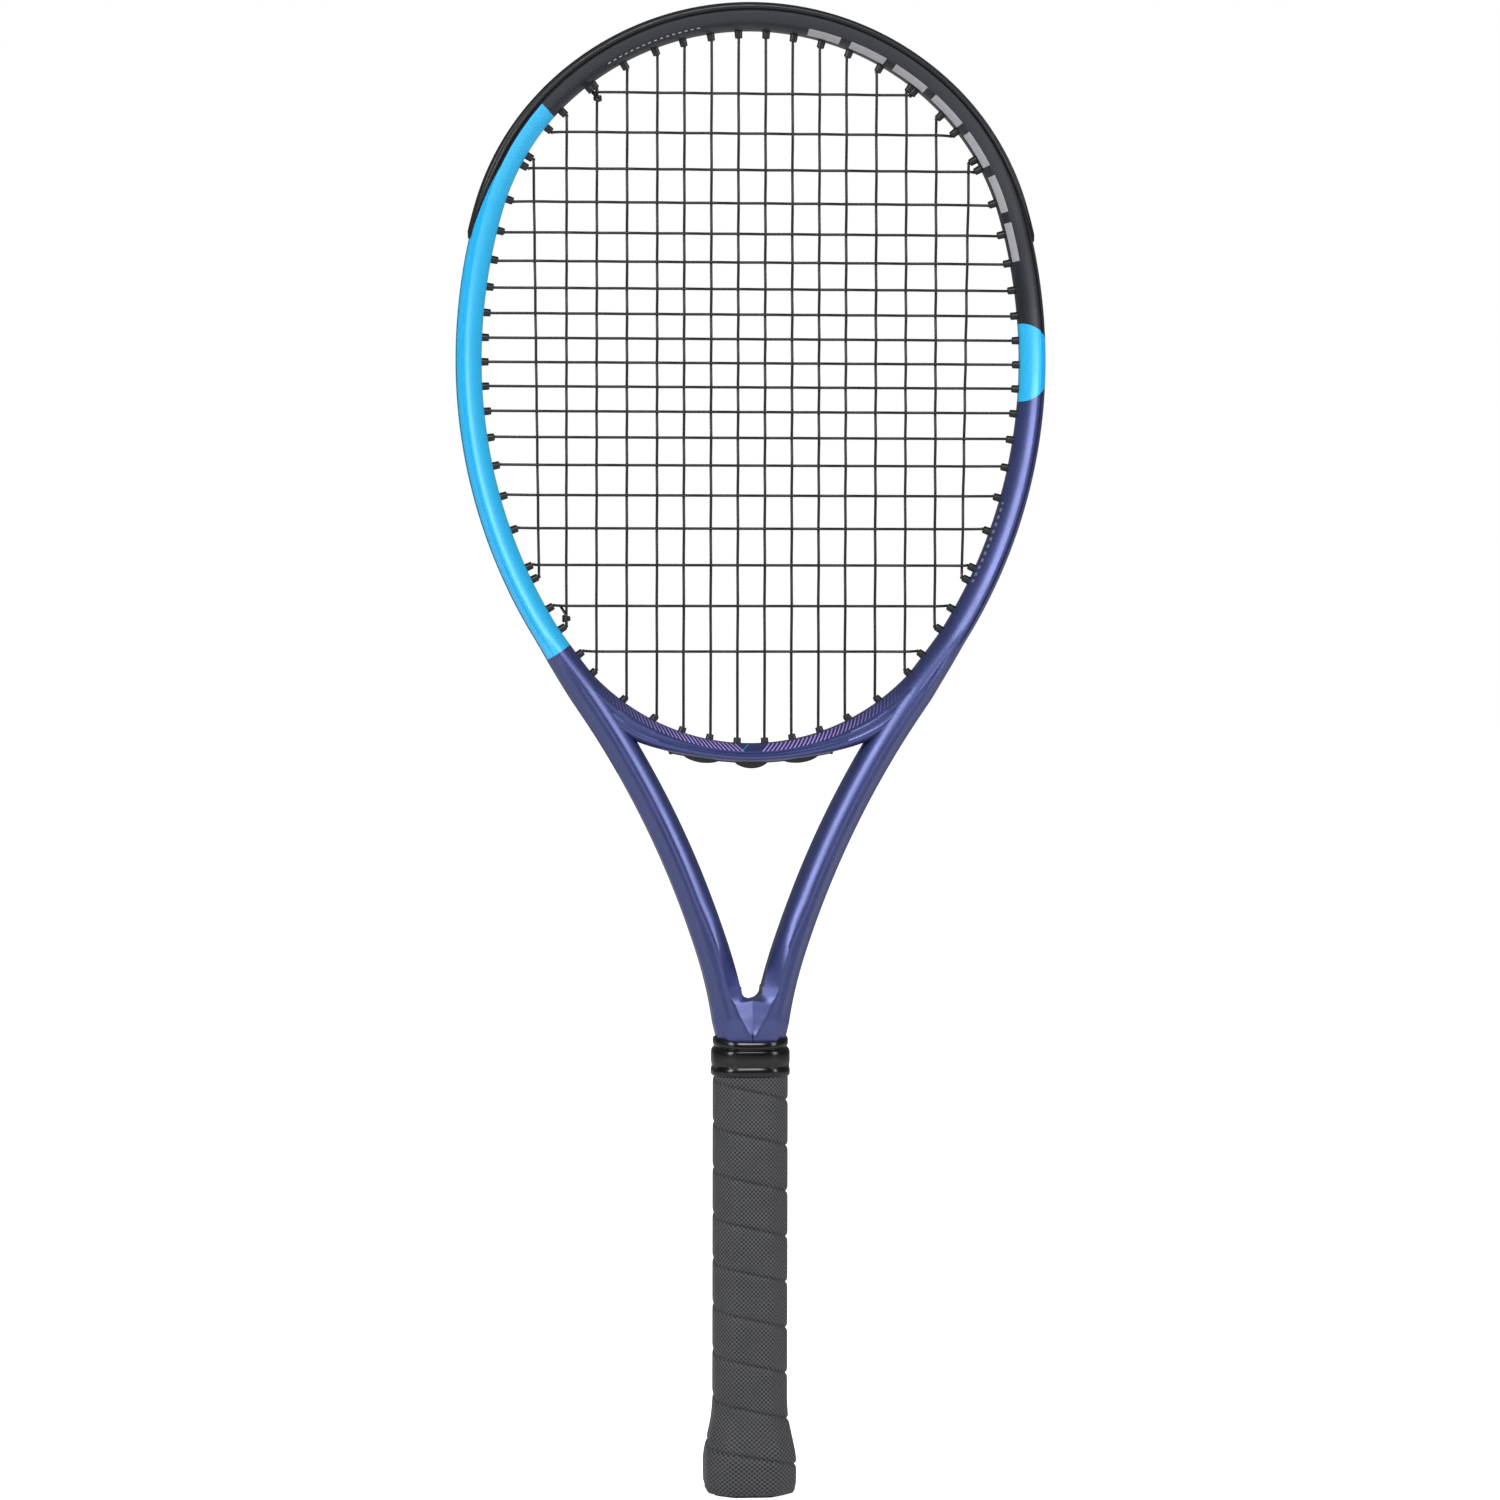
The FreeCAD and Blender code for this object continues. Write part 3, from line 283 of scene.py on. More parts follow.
def lacquer_material(settings):
    """Metallic lacquer on carbon fibre: soft broad highlights, fine flake, a thin clear coat."""
    material, tree = new_material("Flake lacquer on carbon fibre")
    along, out = tube_place(tree)
    flake = grain(tree, FLAKE_MM, 1.0)
    colour, is_lower = lacquer_colour(tree, settings, along, out)
    marked = add(tree, "ShaderNodeMix", {
        0: printed_bars(tree, along, out), 6: flaked(tree, colour, flake), 7: linear(settings.marks)},
        data_type="RGBA").outputs[2]
    # The indigo holds more metal than the charcoal and the cyan.
    metal = add(tree, "ShaderNodeMath", {0: is_lower, 1: 0.5, 2: 0.1}, operation="MULTIPLY_ADD")
    rough = add(tree, "ShaderNodeMapRange", {0: grain(tree, 18.0), 1: 0.3, 2: 0.7, 3: 0.30, 4: 0.38})
    finish_lacquer(tree, flake, {"Base Color": marked, "Metallic": metal, "Roughness": rough})
    return material


def bridge_material(settings):
    """The same indigo lacquer with fine slanted violet lines on its upper facet."""
    material, tree = new_material("Indigo flake lacquer with printed hatching")
    along, out = tube_place(tree)
    flake = grain(tree, FLAKE_MM, 1.0)
    away = add(tree, "ShaderNodeMath", {0: along}, operation="ABSOLUTE")
    lean = add(tree, "ShaderNodeMath", {0: out, 1: HATCH_LEAN, 2: away}, operation="MULTIPLY_ADD")
    steps = add(tree, "ShaderNodeMath", {0: lean, 1: HATCH_PITCH}, operation="DIVIDE")
    step = add(tree, "ShaderNodeMath", {0: steps}, operation="FRACT")
    line = add(tree, "ShaderNodeMath", {0: step, 1: HATCH_FILL}, operation="LESS_THAN")
    band = add(tree, "ShaderNodeMath", {0: out, 1: HATCH_AT, 2: HATCH_HALF}, operation="COMPARE")
    lines = add(tree, "ShaderNodeMath", {0: line, 1: band}, operation="MULTIPLY")
    clear = add(tree, "ShaderNodeMath", {0: lean, 1: HATCH_START}, operation="GREATER_THAN")
    fade = add(tree, "ShaderNodeMapRange", {0: away, 1: HATCH_FADE[0], 2: HATCH_FADE[1], 3: 1.0, 4: 0.0})
    shown = add(tree, "ShaderNodeMath", {0: clear, 1: fade}, operation="MULTIPLY")
    strength = add(tree, "ShaderNodeMath", {0: lines, 1: shown}, operation="MULTIPLY")
    hatched = add(tree, "ShaderNodeMix", {
        0: strength, 6: flaked(tree, linear(settings.lower), flake), 7: linear(settings.hatch)},
        data_type="RGBA").outputs[2]
    slant = add(tree, "ShaderNodeMath", {0: out, 1: HATCH_LEAN, 2: along}, operation="MULTIPLY_ADD")
    stroke = add(tree, "ShaderNodeMath", {0: slant, 1: SLASH_AT, 2: SLASH_HALF}, operation="COMPARE")
    slash = add(tree, "ShaderNodeMath", {0: stroke, 1: band}, operation="MULTIPLY")
    colour = add(tree, "ShaderNodeMix", {0: slash, 6: hatched, 7: linear(settings.band)},
                 data_type="RGBA").outputs[2]
    # The printed lines hold no metal.
    metal = add(tree, "ShaderNodeMath", {0: strength, 1: -0.6, 2: 0.6}, operation="MULTIPLY_ADD")
    finish_lacquer(tree, flake, {"Base Color": colour, "Metallic": metal, "Roughness": 0.34})
    return material


# ---------------------------------------------------------------- other materials
def plain_material(name, colour, roughness, grain_mm, bump_strength, **sockets):
    """Moulded or drawn finish: slight mottling in colour and roughness over a fine grain."""
    material, tree = new_material(name)
    cloud = grain(tree, grain_mm * 25)
    value = add(tree, "ShaderNodeMapRange", {0: cloud, 1: 0.3, 2: 0.7, 3: 0.88, 4: 1.12})
    shade = add(tree, "ShaderNodeHueSaturation", {"Value": value, "Color": linear(colour)})
    rough = add(tree, "ShaderNodeMapRange", {0: cloud, 1: 0.3, 2: 0.7, 3: roughness - 0.05,
                                             4: roughness + 0.05})
    bump = add(tree, "ShaderNodeBump", {"Strength": bump_strength, "Distance": 0.0001,
                                        "Height": grain(tree, grain_mm)})
    finish_surface(tree, {"Base Color": shade, "Roughness": rough, "Normal": bump, **sockets})
    return material


def perforations(tree, pitch):
    """1 in a hole of the grip and 0 between them; every other row is half a pitch over."""
    uv = add(tree, "ShaderNodeUVMap", uv_map="wrap")
    cell = add(tree, "ShaderNodeVectorMath", {0: uv, 1: (1 / pitch, 1 / pitch, 0)}, operation="MULTIPLY")
    distances = []
    for shift in ((0.0, 0.0, 0.0), (0.5, 0.5, 0.0)):
        moved = add(tree, "ShaderNodeVectorMath", {0: cell, 1: shift}, operation="ADD")
        inside = add(tree, "ShaderNodeVectorMath", {0: moved}, operation="FRACTION")
        centred = add(tree, "ShaderNodeVectorMath", {0: inside, 1: (0.5, 0.5, 0)}, operation="SUBTRACT")
        length = add(tree, "ShaderNodeVectorMath", {0: centred}, operation="LENGTH")
        distances.append(length.outputs["Value"])
    nearest = add(tree, "ShaderNodeMath", {0: distances[0], 1: distances[1]}, operation="MINIMUM")
    # Holes are 0.6 mm across and 1.7 mm apart in life; drawn at 1 mm and 2 mm so that they show.
    return add(tree, "ShaderNodeMapRange", {0: nearest, 1: 0.21, 2: 0.31, 3: 1.0, 4: 0.0},
               interpolation_type="SMOOTHSTEP")


def grip_material(settings):
    """Perforated polyurethane synthetic leather: dull, finely pebbled, with staggered holes painted
    near-black as the shade inside them.
    """
    material, tree = new_material("Perforated synthetic leather")
    hole = perforations(tree, settings.hole_pitch)
    value = add(tree, "ShaderNodeMapRange", {0: grain(tree, 9.0), 1: 0.3, 2: 0.7, 3: 0.92, 4: 1.10})
    shade = add(tree, "ShaderNodeHueSaturation", {"Value": value, "Color": linear(settings.grip)})
    # Painted shade: each perforation is coloured near-black to stand for the shade inside the hole.
    painted_hole_shade = add(tree, "ShaderNodeMix", {0: hole, 6: shade.outputs[0], 7: linear("#0B0B0D")},
               data_type="RGBA").outputs[2]
    height = add(tree, "ShaderNodeMath", {0: hole, 1: -2.0, 2: grain(tree, 0.35, 3.0)},
                 operation="MULTIPLY_ADD")
    bump = add(tree, "ShaderNodeBump", {"Strength": 0.5, "Distance": 0.00012, "Height": height})
    finish_surface(tree, {"Base Color": painted_hole_shade, "Roughness": 0.62, "Normal": bump,
                          "Sheen Weight": 0.08, "Sheen Roughness": 0.5})
    return material


# ---------------------------------------------------------------- the hairpin's middle line
def outward(heading):
    """Unit normal out of the head; the heading is 0 at the top and 90 at the widest point."""
    return Vector((math.sin(math.radians(heading)), 0.0, math.cos(math.radians(heading))))


class Arc:
    """One arc of the hairpin: where it starts, how it turns, the tube's size at each end."""

    def __init__(self, start, heading, radius, degrees, size0, size1, begin):
        self.heading, self.radius = heading, radius
        self.turn = 1 if degrees >= 0 else -1
        self.begin = begin
        self.length = radius * math.radians(abs(degrees))
        self.end = begin + self.length
        self.size0, self.size1 = size0, size1
        self.centre = start - outward(heading) * radius * self.turn

    def at(self, s):
        t = (s - self.begin) / self.length
        heading = self.heading + self.turn * math.degrees((s - self.begin) / self.radius)
        point = self.centre + outward(heading) * self.radius * self.turn
        return point, heading, tuple(a + (b - a) * t for a, b in zip(self.size0, self.size1))


def build_chain():
    """The hairpin's arcs in order, from the top of the head to the end of the shaft."""
    arcs = [(r, a, HOOP_SIZE, HOOP_SIZE) for r, a in HEAD_ARCS]
    arcs.append((*SHOULDER_ARC, HOOP_SIZE, SHAFT_SIZE))
    arcs += [(r, a, SHAFT_SIZE, SHAFT_SIZE) for r, a in LEG_ARCS]
    chain = []
    point, heading, begin = Vector((0, 0, HEAD_Z + INNER_ABOVE + HOOP_SIZE[0] / 2)), 0.0, 0.0
    for radius, degrees, size0, size1 in arcs:
        chain.append(Arc(point, heading, radius, degrees, size0, size1, begin))
        begin = chain[-1].end
        point, heading, _ = chain[-1].at(begin)
    return chain


CHAIN = build_chain()
LEG_END = CHAIN[-1].end
SHOULDER = CHAIN[len(HEAD_ARCS)]
HEAD_TURN = sum(degrees for _, degrees in HEAD_ARCS) + SHOULDER_ARC[1]


def smooth(t):
    """Ease from 0 to 1."""
    t = min(1.0, max(0.0, t))
    return t * t * (3 - 2 * t)


def hairpin_at(s):
    """Middle point, heading and tube size at a distance from the top of the head."""
    if s > LEG_END:
        point, heading, size = CHAIN[-1].at(LEG_END)
        taper = point.z - CORE_TOP
        down = s - LEG_END
        t = min(1.0, down / taper)
        x = point.x + (CORE_X - point.x) * t
        tilt = heading + (90.0 - heading) * smooth(t)
        return (Vector((x, 0, point.z - down)), tilt,
                tuple(a + (b - a) * t for a, b in zip(size, CORE_SIZE)))
    for arc in CHAIN:
        if s <= arc.end + 1e-9:
            return arc.at(s)


def s_at_heading(heading):
    """Distance along the hairpin at which it has turned this far."""
    for arc in CHAIN:
        if heading <= arc.heading + math.degrees(arc.length / arc.radius) + 1e-9:
            return arc.begin + math.radians(heading - arc.heading) * arc.radius


def bridge_arcs():
    """Centre and radius of the two arcs of the bridge's inner edge, side then middle."""
    point, _, size = hairpin_at(s_at_heading(BRIDGE_LEAVES))
    radius, degrees = BRIDGE_SIDE_ARC
    side = point - outward(BRIDGE_LEAVES) * (size[0] / 2 + radius)
    end_normal = outward(BRIDGE_LEAVES + degrees)
    end = side + end_normal * radius
    middle_radius = end.x / end_normal.x
    return (side, radius), (end - end_normal * middle_radius, middle_radius)


SIDE, MIDDLE = bridge_arcs()


def inner_edge(heading):
    """Point of the head's inner edge on the right-hand side, from the top to the bottom."""
    if heading <= BRIDGE_LEAVES:
        point, _, size = hairpin_at(s_at_heading(heading))
        return point - outward(heading) * size[0] / 2
    centre, radius = SIDE if heading <= BRIDGE_LEAVES + BRIDGE_SIDE_ARC[1] else MIDDLE
    return centre + outward(heading) * radius


RIGHT_BAND_AT = s_at_heading(90.0)
RIGHT_BAND_HALF = 0.0183
RIGHT_BAND_LEAST = 0.0105
RIGHT_BAND_CURVE = 56.0         # narrowing towards the outside, per metre
LEFT_BAND_SPREAD = 0.1          # how fast the left band widens as the guard's wings run out
GUARD_S = s_at_heading(GUARD_END)
WING_TAPER = 0.034              # length over which the guard's wings run out
# Rows of dashes: start, end, pitch, share filled, and where they lie across the inner facet.
DASHES = [(0.026, 0.186, 0.0234, 0.78, 0.0005, 0.0033),
          (-0.072, -0.024, 0.0030, 0.50, 0.0027, 0.0032),
          (0.296, 0.336, 0.0036, 0.45, 0.0006, 0.0014)]
HATCH_PITCH, HATCH_FILL, HATCH_LEAN = 0.0020, 0.34, 1.1
HATCH_AT, HATCH_HALF, HATCH_START = 0.0020, 0.00165, 0.0072
HATCH_FADE = (0.030, 0.078)     # distances from the middle between which the lines fade out
SLASH_AT, SLASH_HALF = -0.0012, 0.0003


# ---------------------------------------------------------------- mesh helpers
def new_object(name, mesh, material, slot, *nodes):
    """Put a mesh in the scene as a finished piece that stands for CAD nodes."""
    piece = bpy.data.objects.new(name, mesh)
    bpy.context.scene.collection.objects.link(piece)
    mesh.materials.clear()
    mesh.materials.append(material)
    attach(piece, BODY)
    if nodes:
        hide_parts(*nodes)
    return piece


def skin(bm, layer, rows, uvs, closed=True):
    """Faces between rows of vertices, with their UVs; a closed row runs round to its own start."""
    count = len(rows[0])
    for i in range(len(rows) - 1):
        for k in range(count if closed else count - 1):
            n = (k + 1) % count
            corners = ((i, k), (i, n), (i + 1, n), (i + 1, k))
            face = bm.faces.new([rows[a][b] for a, b in corners])
            for loop, (a, b) in zip(face.loops, corners):
                loop[layer].uv = uvs[a][b]


def tube_mesh(name, rings, uvs, uv_name, capped, sharp_degrees):
    """Mesh through rings of points, each closed on itself, with or without a face over each end."""
    bm = bmesh.new()
    layer = bm.loops.layers.uv.new(uv_name)
    rows = [[bm.verts.new(p) for p in ring] for ring in rings]
    skin(bm, layer, rows, uvs)
    if capped:
        bm.faces.new(rows[0][::-1])
        bm.faces.new(rows[-1])
    mesh = bpy.data.meshes.new(name)
    finish_bmesh(bm, mesh, sharp_degrees)
    return mesh


def finish_bmesh(bm, mesh, sharp_degrees):
    """Clean a shell, turn its faces outwards and shade it smooth but for its sharp edges."""
    bmesh.ops.remove_doubles(bm, verts=bm.verts, dist=1e-6)
    bmesh.ops.dissolve_degenerate(bm, edges=bm.edges, dist=1e-7)
    bmesh.ops.recalc_face_normals(bm, faces=bm.faces)
    for face in bm.faces:
        face.smooth = True
    sharp = math.radians(sharp_degrees)
    for edge in bm.edges:
        if len(edge.link_faces) == 2 and edge.calc_face_angle(0.0) > sharp:
            edge.smooth = False
    bm.to_mesh(mesh)
    bm.free()


def joined(name, meshes):
    """One mesh out of several."""
    bm = bmesh.new()
    for mesh in meshes:
        bm.from_mesh(mesh)
    result = bpy.data.meshes.new(name)
    bm.to_mesh(result)
    bm.free()
    return result


def arc_points(a, b, bulge, count):
    """Points after a and up to b along an arc that rises by a bulge to the left of a-b."""
    (u0, v0), (u1, v1) = a, b
    chord = math.hypot(u1 - u0, v1 - v0)
    normal = ((v1 - v0) / chord, -(u1 - u0) / chord)
    points = []
    for i in range(1, count + 1):
        t = i / count
        lift = 4 * t * (1 - t) * bulge
        points.append((u0 + (u1 - u0) * t + normal[0] * lift, v0 + (v1 - v0) * t + normal[1] * lift))
    return points


# ---------------------------------------------------------------- the hairpin
RIDGE = 0.71                  # share of the width from the inner edge to the outer ridge
CREST = 0.52                  # on the shafts: inner crest, then a fine crease, then the ridge
CREASE = 0.605
CREASE_DEPTH = 0.00036
HOOP_BULGE, SHAFT_BULGE = 0.0011, 0.0019    # how far the inner facets swell
HOOP_GROOVE = 0.0006          # depth of the groove outside the hoop's ridge
BULGE_FADE = (0.236, 0.034)   # height at which the shafts' swelling is gone, and the height it takes
NOSE = 0.22                   # half height of the flat inner edge, as a share of the half depth
LEG_FROM, LEG_TO = 0.352, 0.400
# In the throat the crest and the crease are laid by (height above the butt, distance from the middle).
CREST_LINE = [(0.2104, 0.0), (0.2121, 0.0009), (0.2174, 0.0041), (0.2227, 0.0072), (0.2291, 0.0098),
              (0.2341, 0.0118), (0.2438, 0.0140), (0.2534, 0.0167), (0.2755, 0.0264)]
CREASE_LINE = [(0.1960, 0.0090), (0.2085, 0.0094), (0.2213, 0.0108), (0.2318, 0.0133),
               (0.2461, 0.0166), (0.2534, 0.0186), (0.2751, 0.0276)]
# The inner edge thickens down the throat: (height, share of the half depth).
NOSE_LINE = [(0.2104, 0.96), (0.2284, 0.68), (0.2344, 0.57), (0.2450, 0.42), (0.2600, 0.30), (0.2750, NOSE)]
THROAT_TOP = 0.2783
THROAT_S = 0.485              # past this distance the rings stand four times as close
GROOVE_RUNOUT = 0.0006        # length over which the string groove ends
# Heights of the rings below the arcs, close together where the two shafts become one.
CORE_LEVELS = [0.217, 0.2155, 0.214, 0.2125, 0.211, 0.2095, 0.2075, 0.203, 0.199, 0.196, 0.15, 0.08]


def on_line(line, z):
    """Value at a height on a line given by points, flat beyond its ends."""
    if z <= line[0][0]:
        return line[0][1]
    for (z0, a0), (z1, a1) in zip(line, line[1:]):
        if z <= z1:
            return a0 + (a1 - a0) * (z - z0) / (z1 - z0)
    return line[-1][1]


def hoop_half(w, d):
    """Front half of the hoop's section: one broad inner facet, the ridge, a groove, the outer facet."""
    nose = NOSE * d
    land = (RIDGE - 0.014, d - 0.00004)
    facet = [(0.0, nose)] + arc_points((0.0, nose), (land[0] * w, land[1]), -HOOP_BULGE, 40)
    shares = [CREST * k / 10 for k in range(1, 11)] + [0.55, CREASE - 0.015, CREASE, CREASE + 0.02]
    points = [(share, on_line(facet, share * w)) for share in shares]
    points += [land, (RIDGE + 0.022, d), (0.75, d - 0.0006), (0.77, d - 0.0011 - HOOP_GROOVE),
               (0.81, d - 0.0018 - HOOP_GROOVE), (0.84, d - 0.0021), (0.90, d - 0.0031)]
    return [(0.0, 0.0), (0.0, nose * 0.5), (0.0, nose)] + points + [(1.0, 0.52 * d)]


def shaft_half(w, d, crest, crease, nose, bulge):
    """Front half of a shaft's section: convex inner facet, crest, fine crease, ridge, steep outside."""
    width = max(crest, 0.004) * w
    facet = [(u / w, v) for u, v in arc_points((0.0, nose), (width, d), -bulge, 10)]
    ridge = max(RIDGE, crease + 0.09)
    gap = crease - crest
    points = facet + [(crest + gap * 0.35, d - 0.00005), (crest + gap * 0.7, d - 0.00020),
                      (crease, d - CREASE_DEPTH), (crease + 0.04, d - 0.00018)]
    rest = (1.0 - ridge) / (1.0 - RIDGE)
    points += [(1.0 - (1.0 - share) * rest, d - drop) for share, drop in
               ((RIDGE, 0.0001), (0.735, 0.0005), (0.77, 0.0014), (0.81, 0.0024), (0.84, 0.0032),
                (0.90, 0.0047))]
    return [(0.0, 0.0), (0.0, nose * 0.5), (0.0, nose)] + points + [(1.0, 0.50 * d)]


def half_section(s, inner, outer, size):
    """Front half of the section at a station, as (share of the width, depth)."""
    w, d = (outer - inner).length, size[1] / 2
    leg = smooth((s - LEG_FROM) / (LEG_TO - LEG_FROM))
    crest, crease, nose, bulge = CREST, CREASE, NOSE * d, SHAFT_BULGE
    if s > SHOULDER.end and inner.z < THROAT_TOP:
        crest = share_of_line(CREST_LINE, inner, outer)
        crease = share_of_line(CREASE_LINE, inner, outer)
        nose = d * on_line(NOSE_LINE, inner.z)
        bulge = SHAFT_BULGE * smooth((inner.z - BULGE_FADE[0]) / BULGE_FADE[1])
    shaft = shaft_half(w, d, crest, crease, nose, bulge)
    half = [(a + (b - a) * leg, c + (e - c) * leg) for (a, c), (b, e) in zip(hoop_half(w, d), shaft)]
    groove = smooth((STRIP_END - s) / GROOVE_RUNOUT)
    floor = 1.0 - GROOVE_FLOOR / w * groove
    return half + [(1.0, GROOVE_HALF + 0.0002), (1.0 - 0.0002 / w * groove, GROOVE_HALF),
                   (floor, GROOVE_HALF - 0.0001), (floor, GROOVE_HALF * 0.5), (floor, 0.0)]


def share_of_line(line, inner, outer):
    """Share of the width at which a line of the throat crosses a station."""
    share = 0.5
    for _ in range(6):
        x = on_line(line, inner.z + (outer.z - inner.z) * share)
        share = min(0.80, max(0.0, (x - inner.x) / (outer.x - inner.x)))
    return share


def leg_inner(s, natural):
    """Inner edge of a leg: its own, then the rounded notch, then the middle line of the web."""
    start = Vector((NOTCH_RADIUS * 0.98, 0, NOTCH_Z + NOTCH_RADIUS * 1.2))
    if s < SHOULDER.end or natural.z > start.z:
        return natural
    travelled = (start.z - natural.z) * 1.03
    quarter = NOTCH_RADIUS * math.pi / 2
    if travelled >= quarter:
        return Vector((0, 0, NOTCH_Z - (travelled - quarter)))
    angle = travelled / NOTCH_RADIUS
    target = Vector((NOTCH_RADIUS * math.cos(angle), 0,
                     NOTCH_Z + NOTCH_RADIUS - NOTCH_RADIUS * math.sin(angle)))
    return start.lerp(target, smooth(travelled / 0.002))


def hairpin_rings(settings):
    """Rings of the right-hand half of the hairpin, top of the head to the end of the leg."""
    stations, s = [0.0], 0.0
    while s < LEG_END - 0.0001:
        s += settings.ring_step * (0.25 if s > THROAT_S else 1.0)
        stations.append(min(s, LEG_END))
    stations += [STRIP_END - GROOVE_RUNOUT, STRIP_END - GROOVE_RUNOUT / 2, STRIP_END]
    top = CHAIN[-1].at(LEG_END)[0].z
    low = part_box("frame_hairpin")[0][2]
    stations += [LEG_END + (top - z) for z in CORE_LEVELS + [low]]
    rings, uvs = [], []
    for s in sorted(set(stations)):
        point, heading, size = hairpin_at(s)
        normal = outward(heading)
        inner = leg_inner(s, point - normal * size[0] / 2)
        outer = point + normal * size[0] / 2
        half = half_section(s, inner, outer, size)
        outline = [(share, -v) for share, v in half] + [(share, v) for share, v in half[-2:0:-1]]
        ring, uv = [], []
        for share, v in outline:
            spot = inner.lerp(outer, share)
            ring.append(Vector((max(spot.x, 0.0), v, spot.z)))
            uv.append((s, share * size[0]))
        rings.append(ring)
        uvs.append(uv)
    return rings, uvs


def hairpin_mesh(settings):
    """Both halves of the hairpin as one shell, without the faces on its middle plane."""
    rings, uvs = hairpin_rings(settings)
    bm = bmesh.new()
    layer = bm.loops.layers.uv.new("tube")
    for side in (1, -1):
        rows = [[bm.verts.new((p.x * side, p.y, p.z)) for p in ring] for ring in rings]
        skin(bm, layer, rows, [[(along * side, out) for along, out in uv] for uv in uvs])
        bm.faces.new(rows[-1])
    inside = [f for f in bm.faces if all(abs(v.co.x) < 1e-7 for v in f.verts)]
    bmesh.ops.delete(bm, geom=inside, context="FACES")
    mesh = bpy.data.meshes.new("frame_hairpin_paint")
    finish_bmesh(bm, mesh, 38)
    return mesh


# ---------------------------------------------------------------- the bridge
BRIDGE_BURIED = 126.0         # heading at which the bridge begins, inside the hoop
BRIDGE_BLEND = 26.0           # degrees over which it takes its own depth and groove
BRIDGE_FREED = 18.0           # degrees over which the hoop's profile stops capping it
BRIDGE_ROOT_DEPTH = 0.0226
# The bridge widens into a web where it meets each shaft: (heading, width).
BRIDGE_WIDTHS = [(126.0, 0.0112), (140.0, 0.0116), (144.0, 0.0123), (147.0, 0.0129), (150.0, 0.0128),
                 (154.0, 0.0120), (159.0, 0.0107), (164.0, 0.0096), (170.0, 0.0088), (175.0, 0.0085)]


def bridge_rings():
    """Rings from inside the right shoulder to inside the left one, along the head's inner edge."""
    rings, uvs = [], []
    headings = [BRIDGE_BURIED + (180.0 - BRIDGE_BURIED) * i / 80 for i in range(81)]
    middle_x = MIDDLE[1] * math.pi / 180
    for side, order in ((1, headings), (-1, headings[-2::-1])):
        for heading in order:
            t = smooth((heading - BRIDGE_BURIED) / BRIDGE_BLEND)
            w = bridge_width(heading)
            d = (BRIDGE_ROOT_DEPTH + (BRIDGE_SIZE[1] - BRIDGE_ROOT_DEPTH) * t) / 2
            edge, normal = inner_edge(heading), outward(heading)
            # It starts 0.4 mm under the hoop's surface, so that it doesn't show there.
            rise = 0.0035 * smooth((heading - BRIDGE_BURIED) / BRIDGE_FREED) - 0.0004
            hoop = hoop_profile(heading)
            half = [(u, min(v, on_line(hoop, u) + rise)) for u, v in bridge_half(w, d, t)]
            outline = [(u, -v) for u, v in half] + [(u, v) for u, v in half[-2:0:-1]]
            ring, uv = [], []
            for u, v in outline:
                spot = edge + normal * u
                ring.append(Vector((spot.x * side, v, spot.z)))
                uv.append((side * (180.0 - heading) * middle_x, u))
            rings.append(ring)
            uvs.append(uv)
    return rings, uvs


def bridge_width(heading):
    """Width of the bridge at a heading of its inner edge, either side."""
    return on_line(BRIDGE_WIDTHS, min(heading, 360.0 - heading))


def hoop_profile(heading):
    """Depth of the hoop's front at a distance from its inner edge, as a line."""
    s = s_at_heading(min(heading, HEAD_TURN - 1.0))
    point, at, size = hairpin_at(s)
    across = outward(at) * size[0] / 2
    half = half_section(s, point - across, point + across, size)
    return [(share * size[0], v) for share, v in half[2:-5]]


def bridge_half(w, d, t):
    """Front half of the bridge's section: upper facet, a dark fold, a rounded ridge, a groove below."""
    points = [(0.0, 0.0), (0.0, 0.10 * d), (0.0, 0.20 * d)]
    points += arc_points((0.0, 0.22 * d), (0.42 * w, 0.95 * d), -0.0007, 8)
    points += [(0.45 * w, 0.952 * d), (0.51 * w, 0.91 * d), (0.58 * w, 0.865 * d), (0.63 * w, 0.90 * d)]
    points += arc_points((0.65 * w, 0.95 * d), (0.90 * w, 0.86 * d), -0.0005, 5)
    points += arc_points((0.92 * w, 0.83 * d), (w, 0.5 * d), -0.0002, 3)
    lip = 0.0033
    floor = w - GROOVE_FLOOR * t
    points += [(w, lip + 0.0002), (floor, lip), (floor, 0.0)]
    return points


# ---------------------------------------------------------------- strips
SWEEP_STEP = 0.003


def swept(name, outline_at, s0, s1, mirror=False):
    """Channel or rail along the hairpin; the outline gives (offset from the tube's outer face, v)."""
    count = int((s1 - s0) / SWEEP_STEP)
    rings, uvs = [], []
    for i in range(count + 1):
        s = s0 + (s1 - s0) * i / count
        point, heading, size = hairpin_at(abs(s))
        normal = outward(heading)
        ring, uv = [], []
        for u, v in outline_at(s):
            spot = point + normal * (size[0] / 2 + u)
            x = spot.x if s >= 0 else -spot.x
            ring.append(Vector((-x if mirror else x, v, spot.z)))
            uv.append((s, v))
        rings.append(ring)
        uvs.append(uv)
    return tube_mesh(name, rings, uvs, "tube", True, 35)


def symmetric(half):
    """Outline with its front half mirrored to the back."""
    return half + [(u, -v) for u, v in reversed(half)]


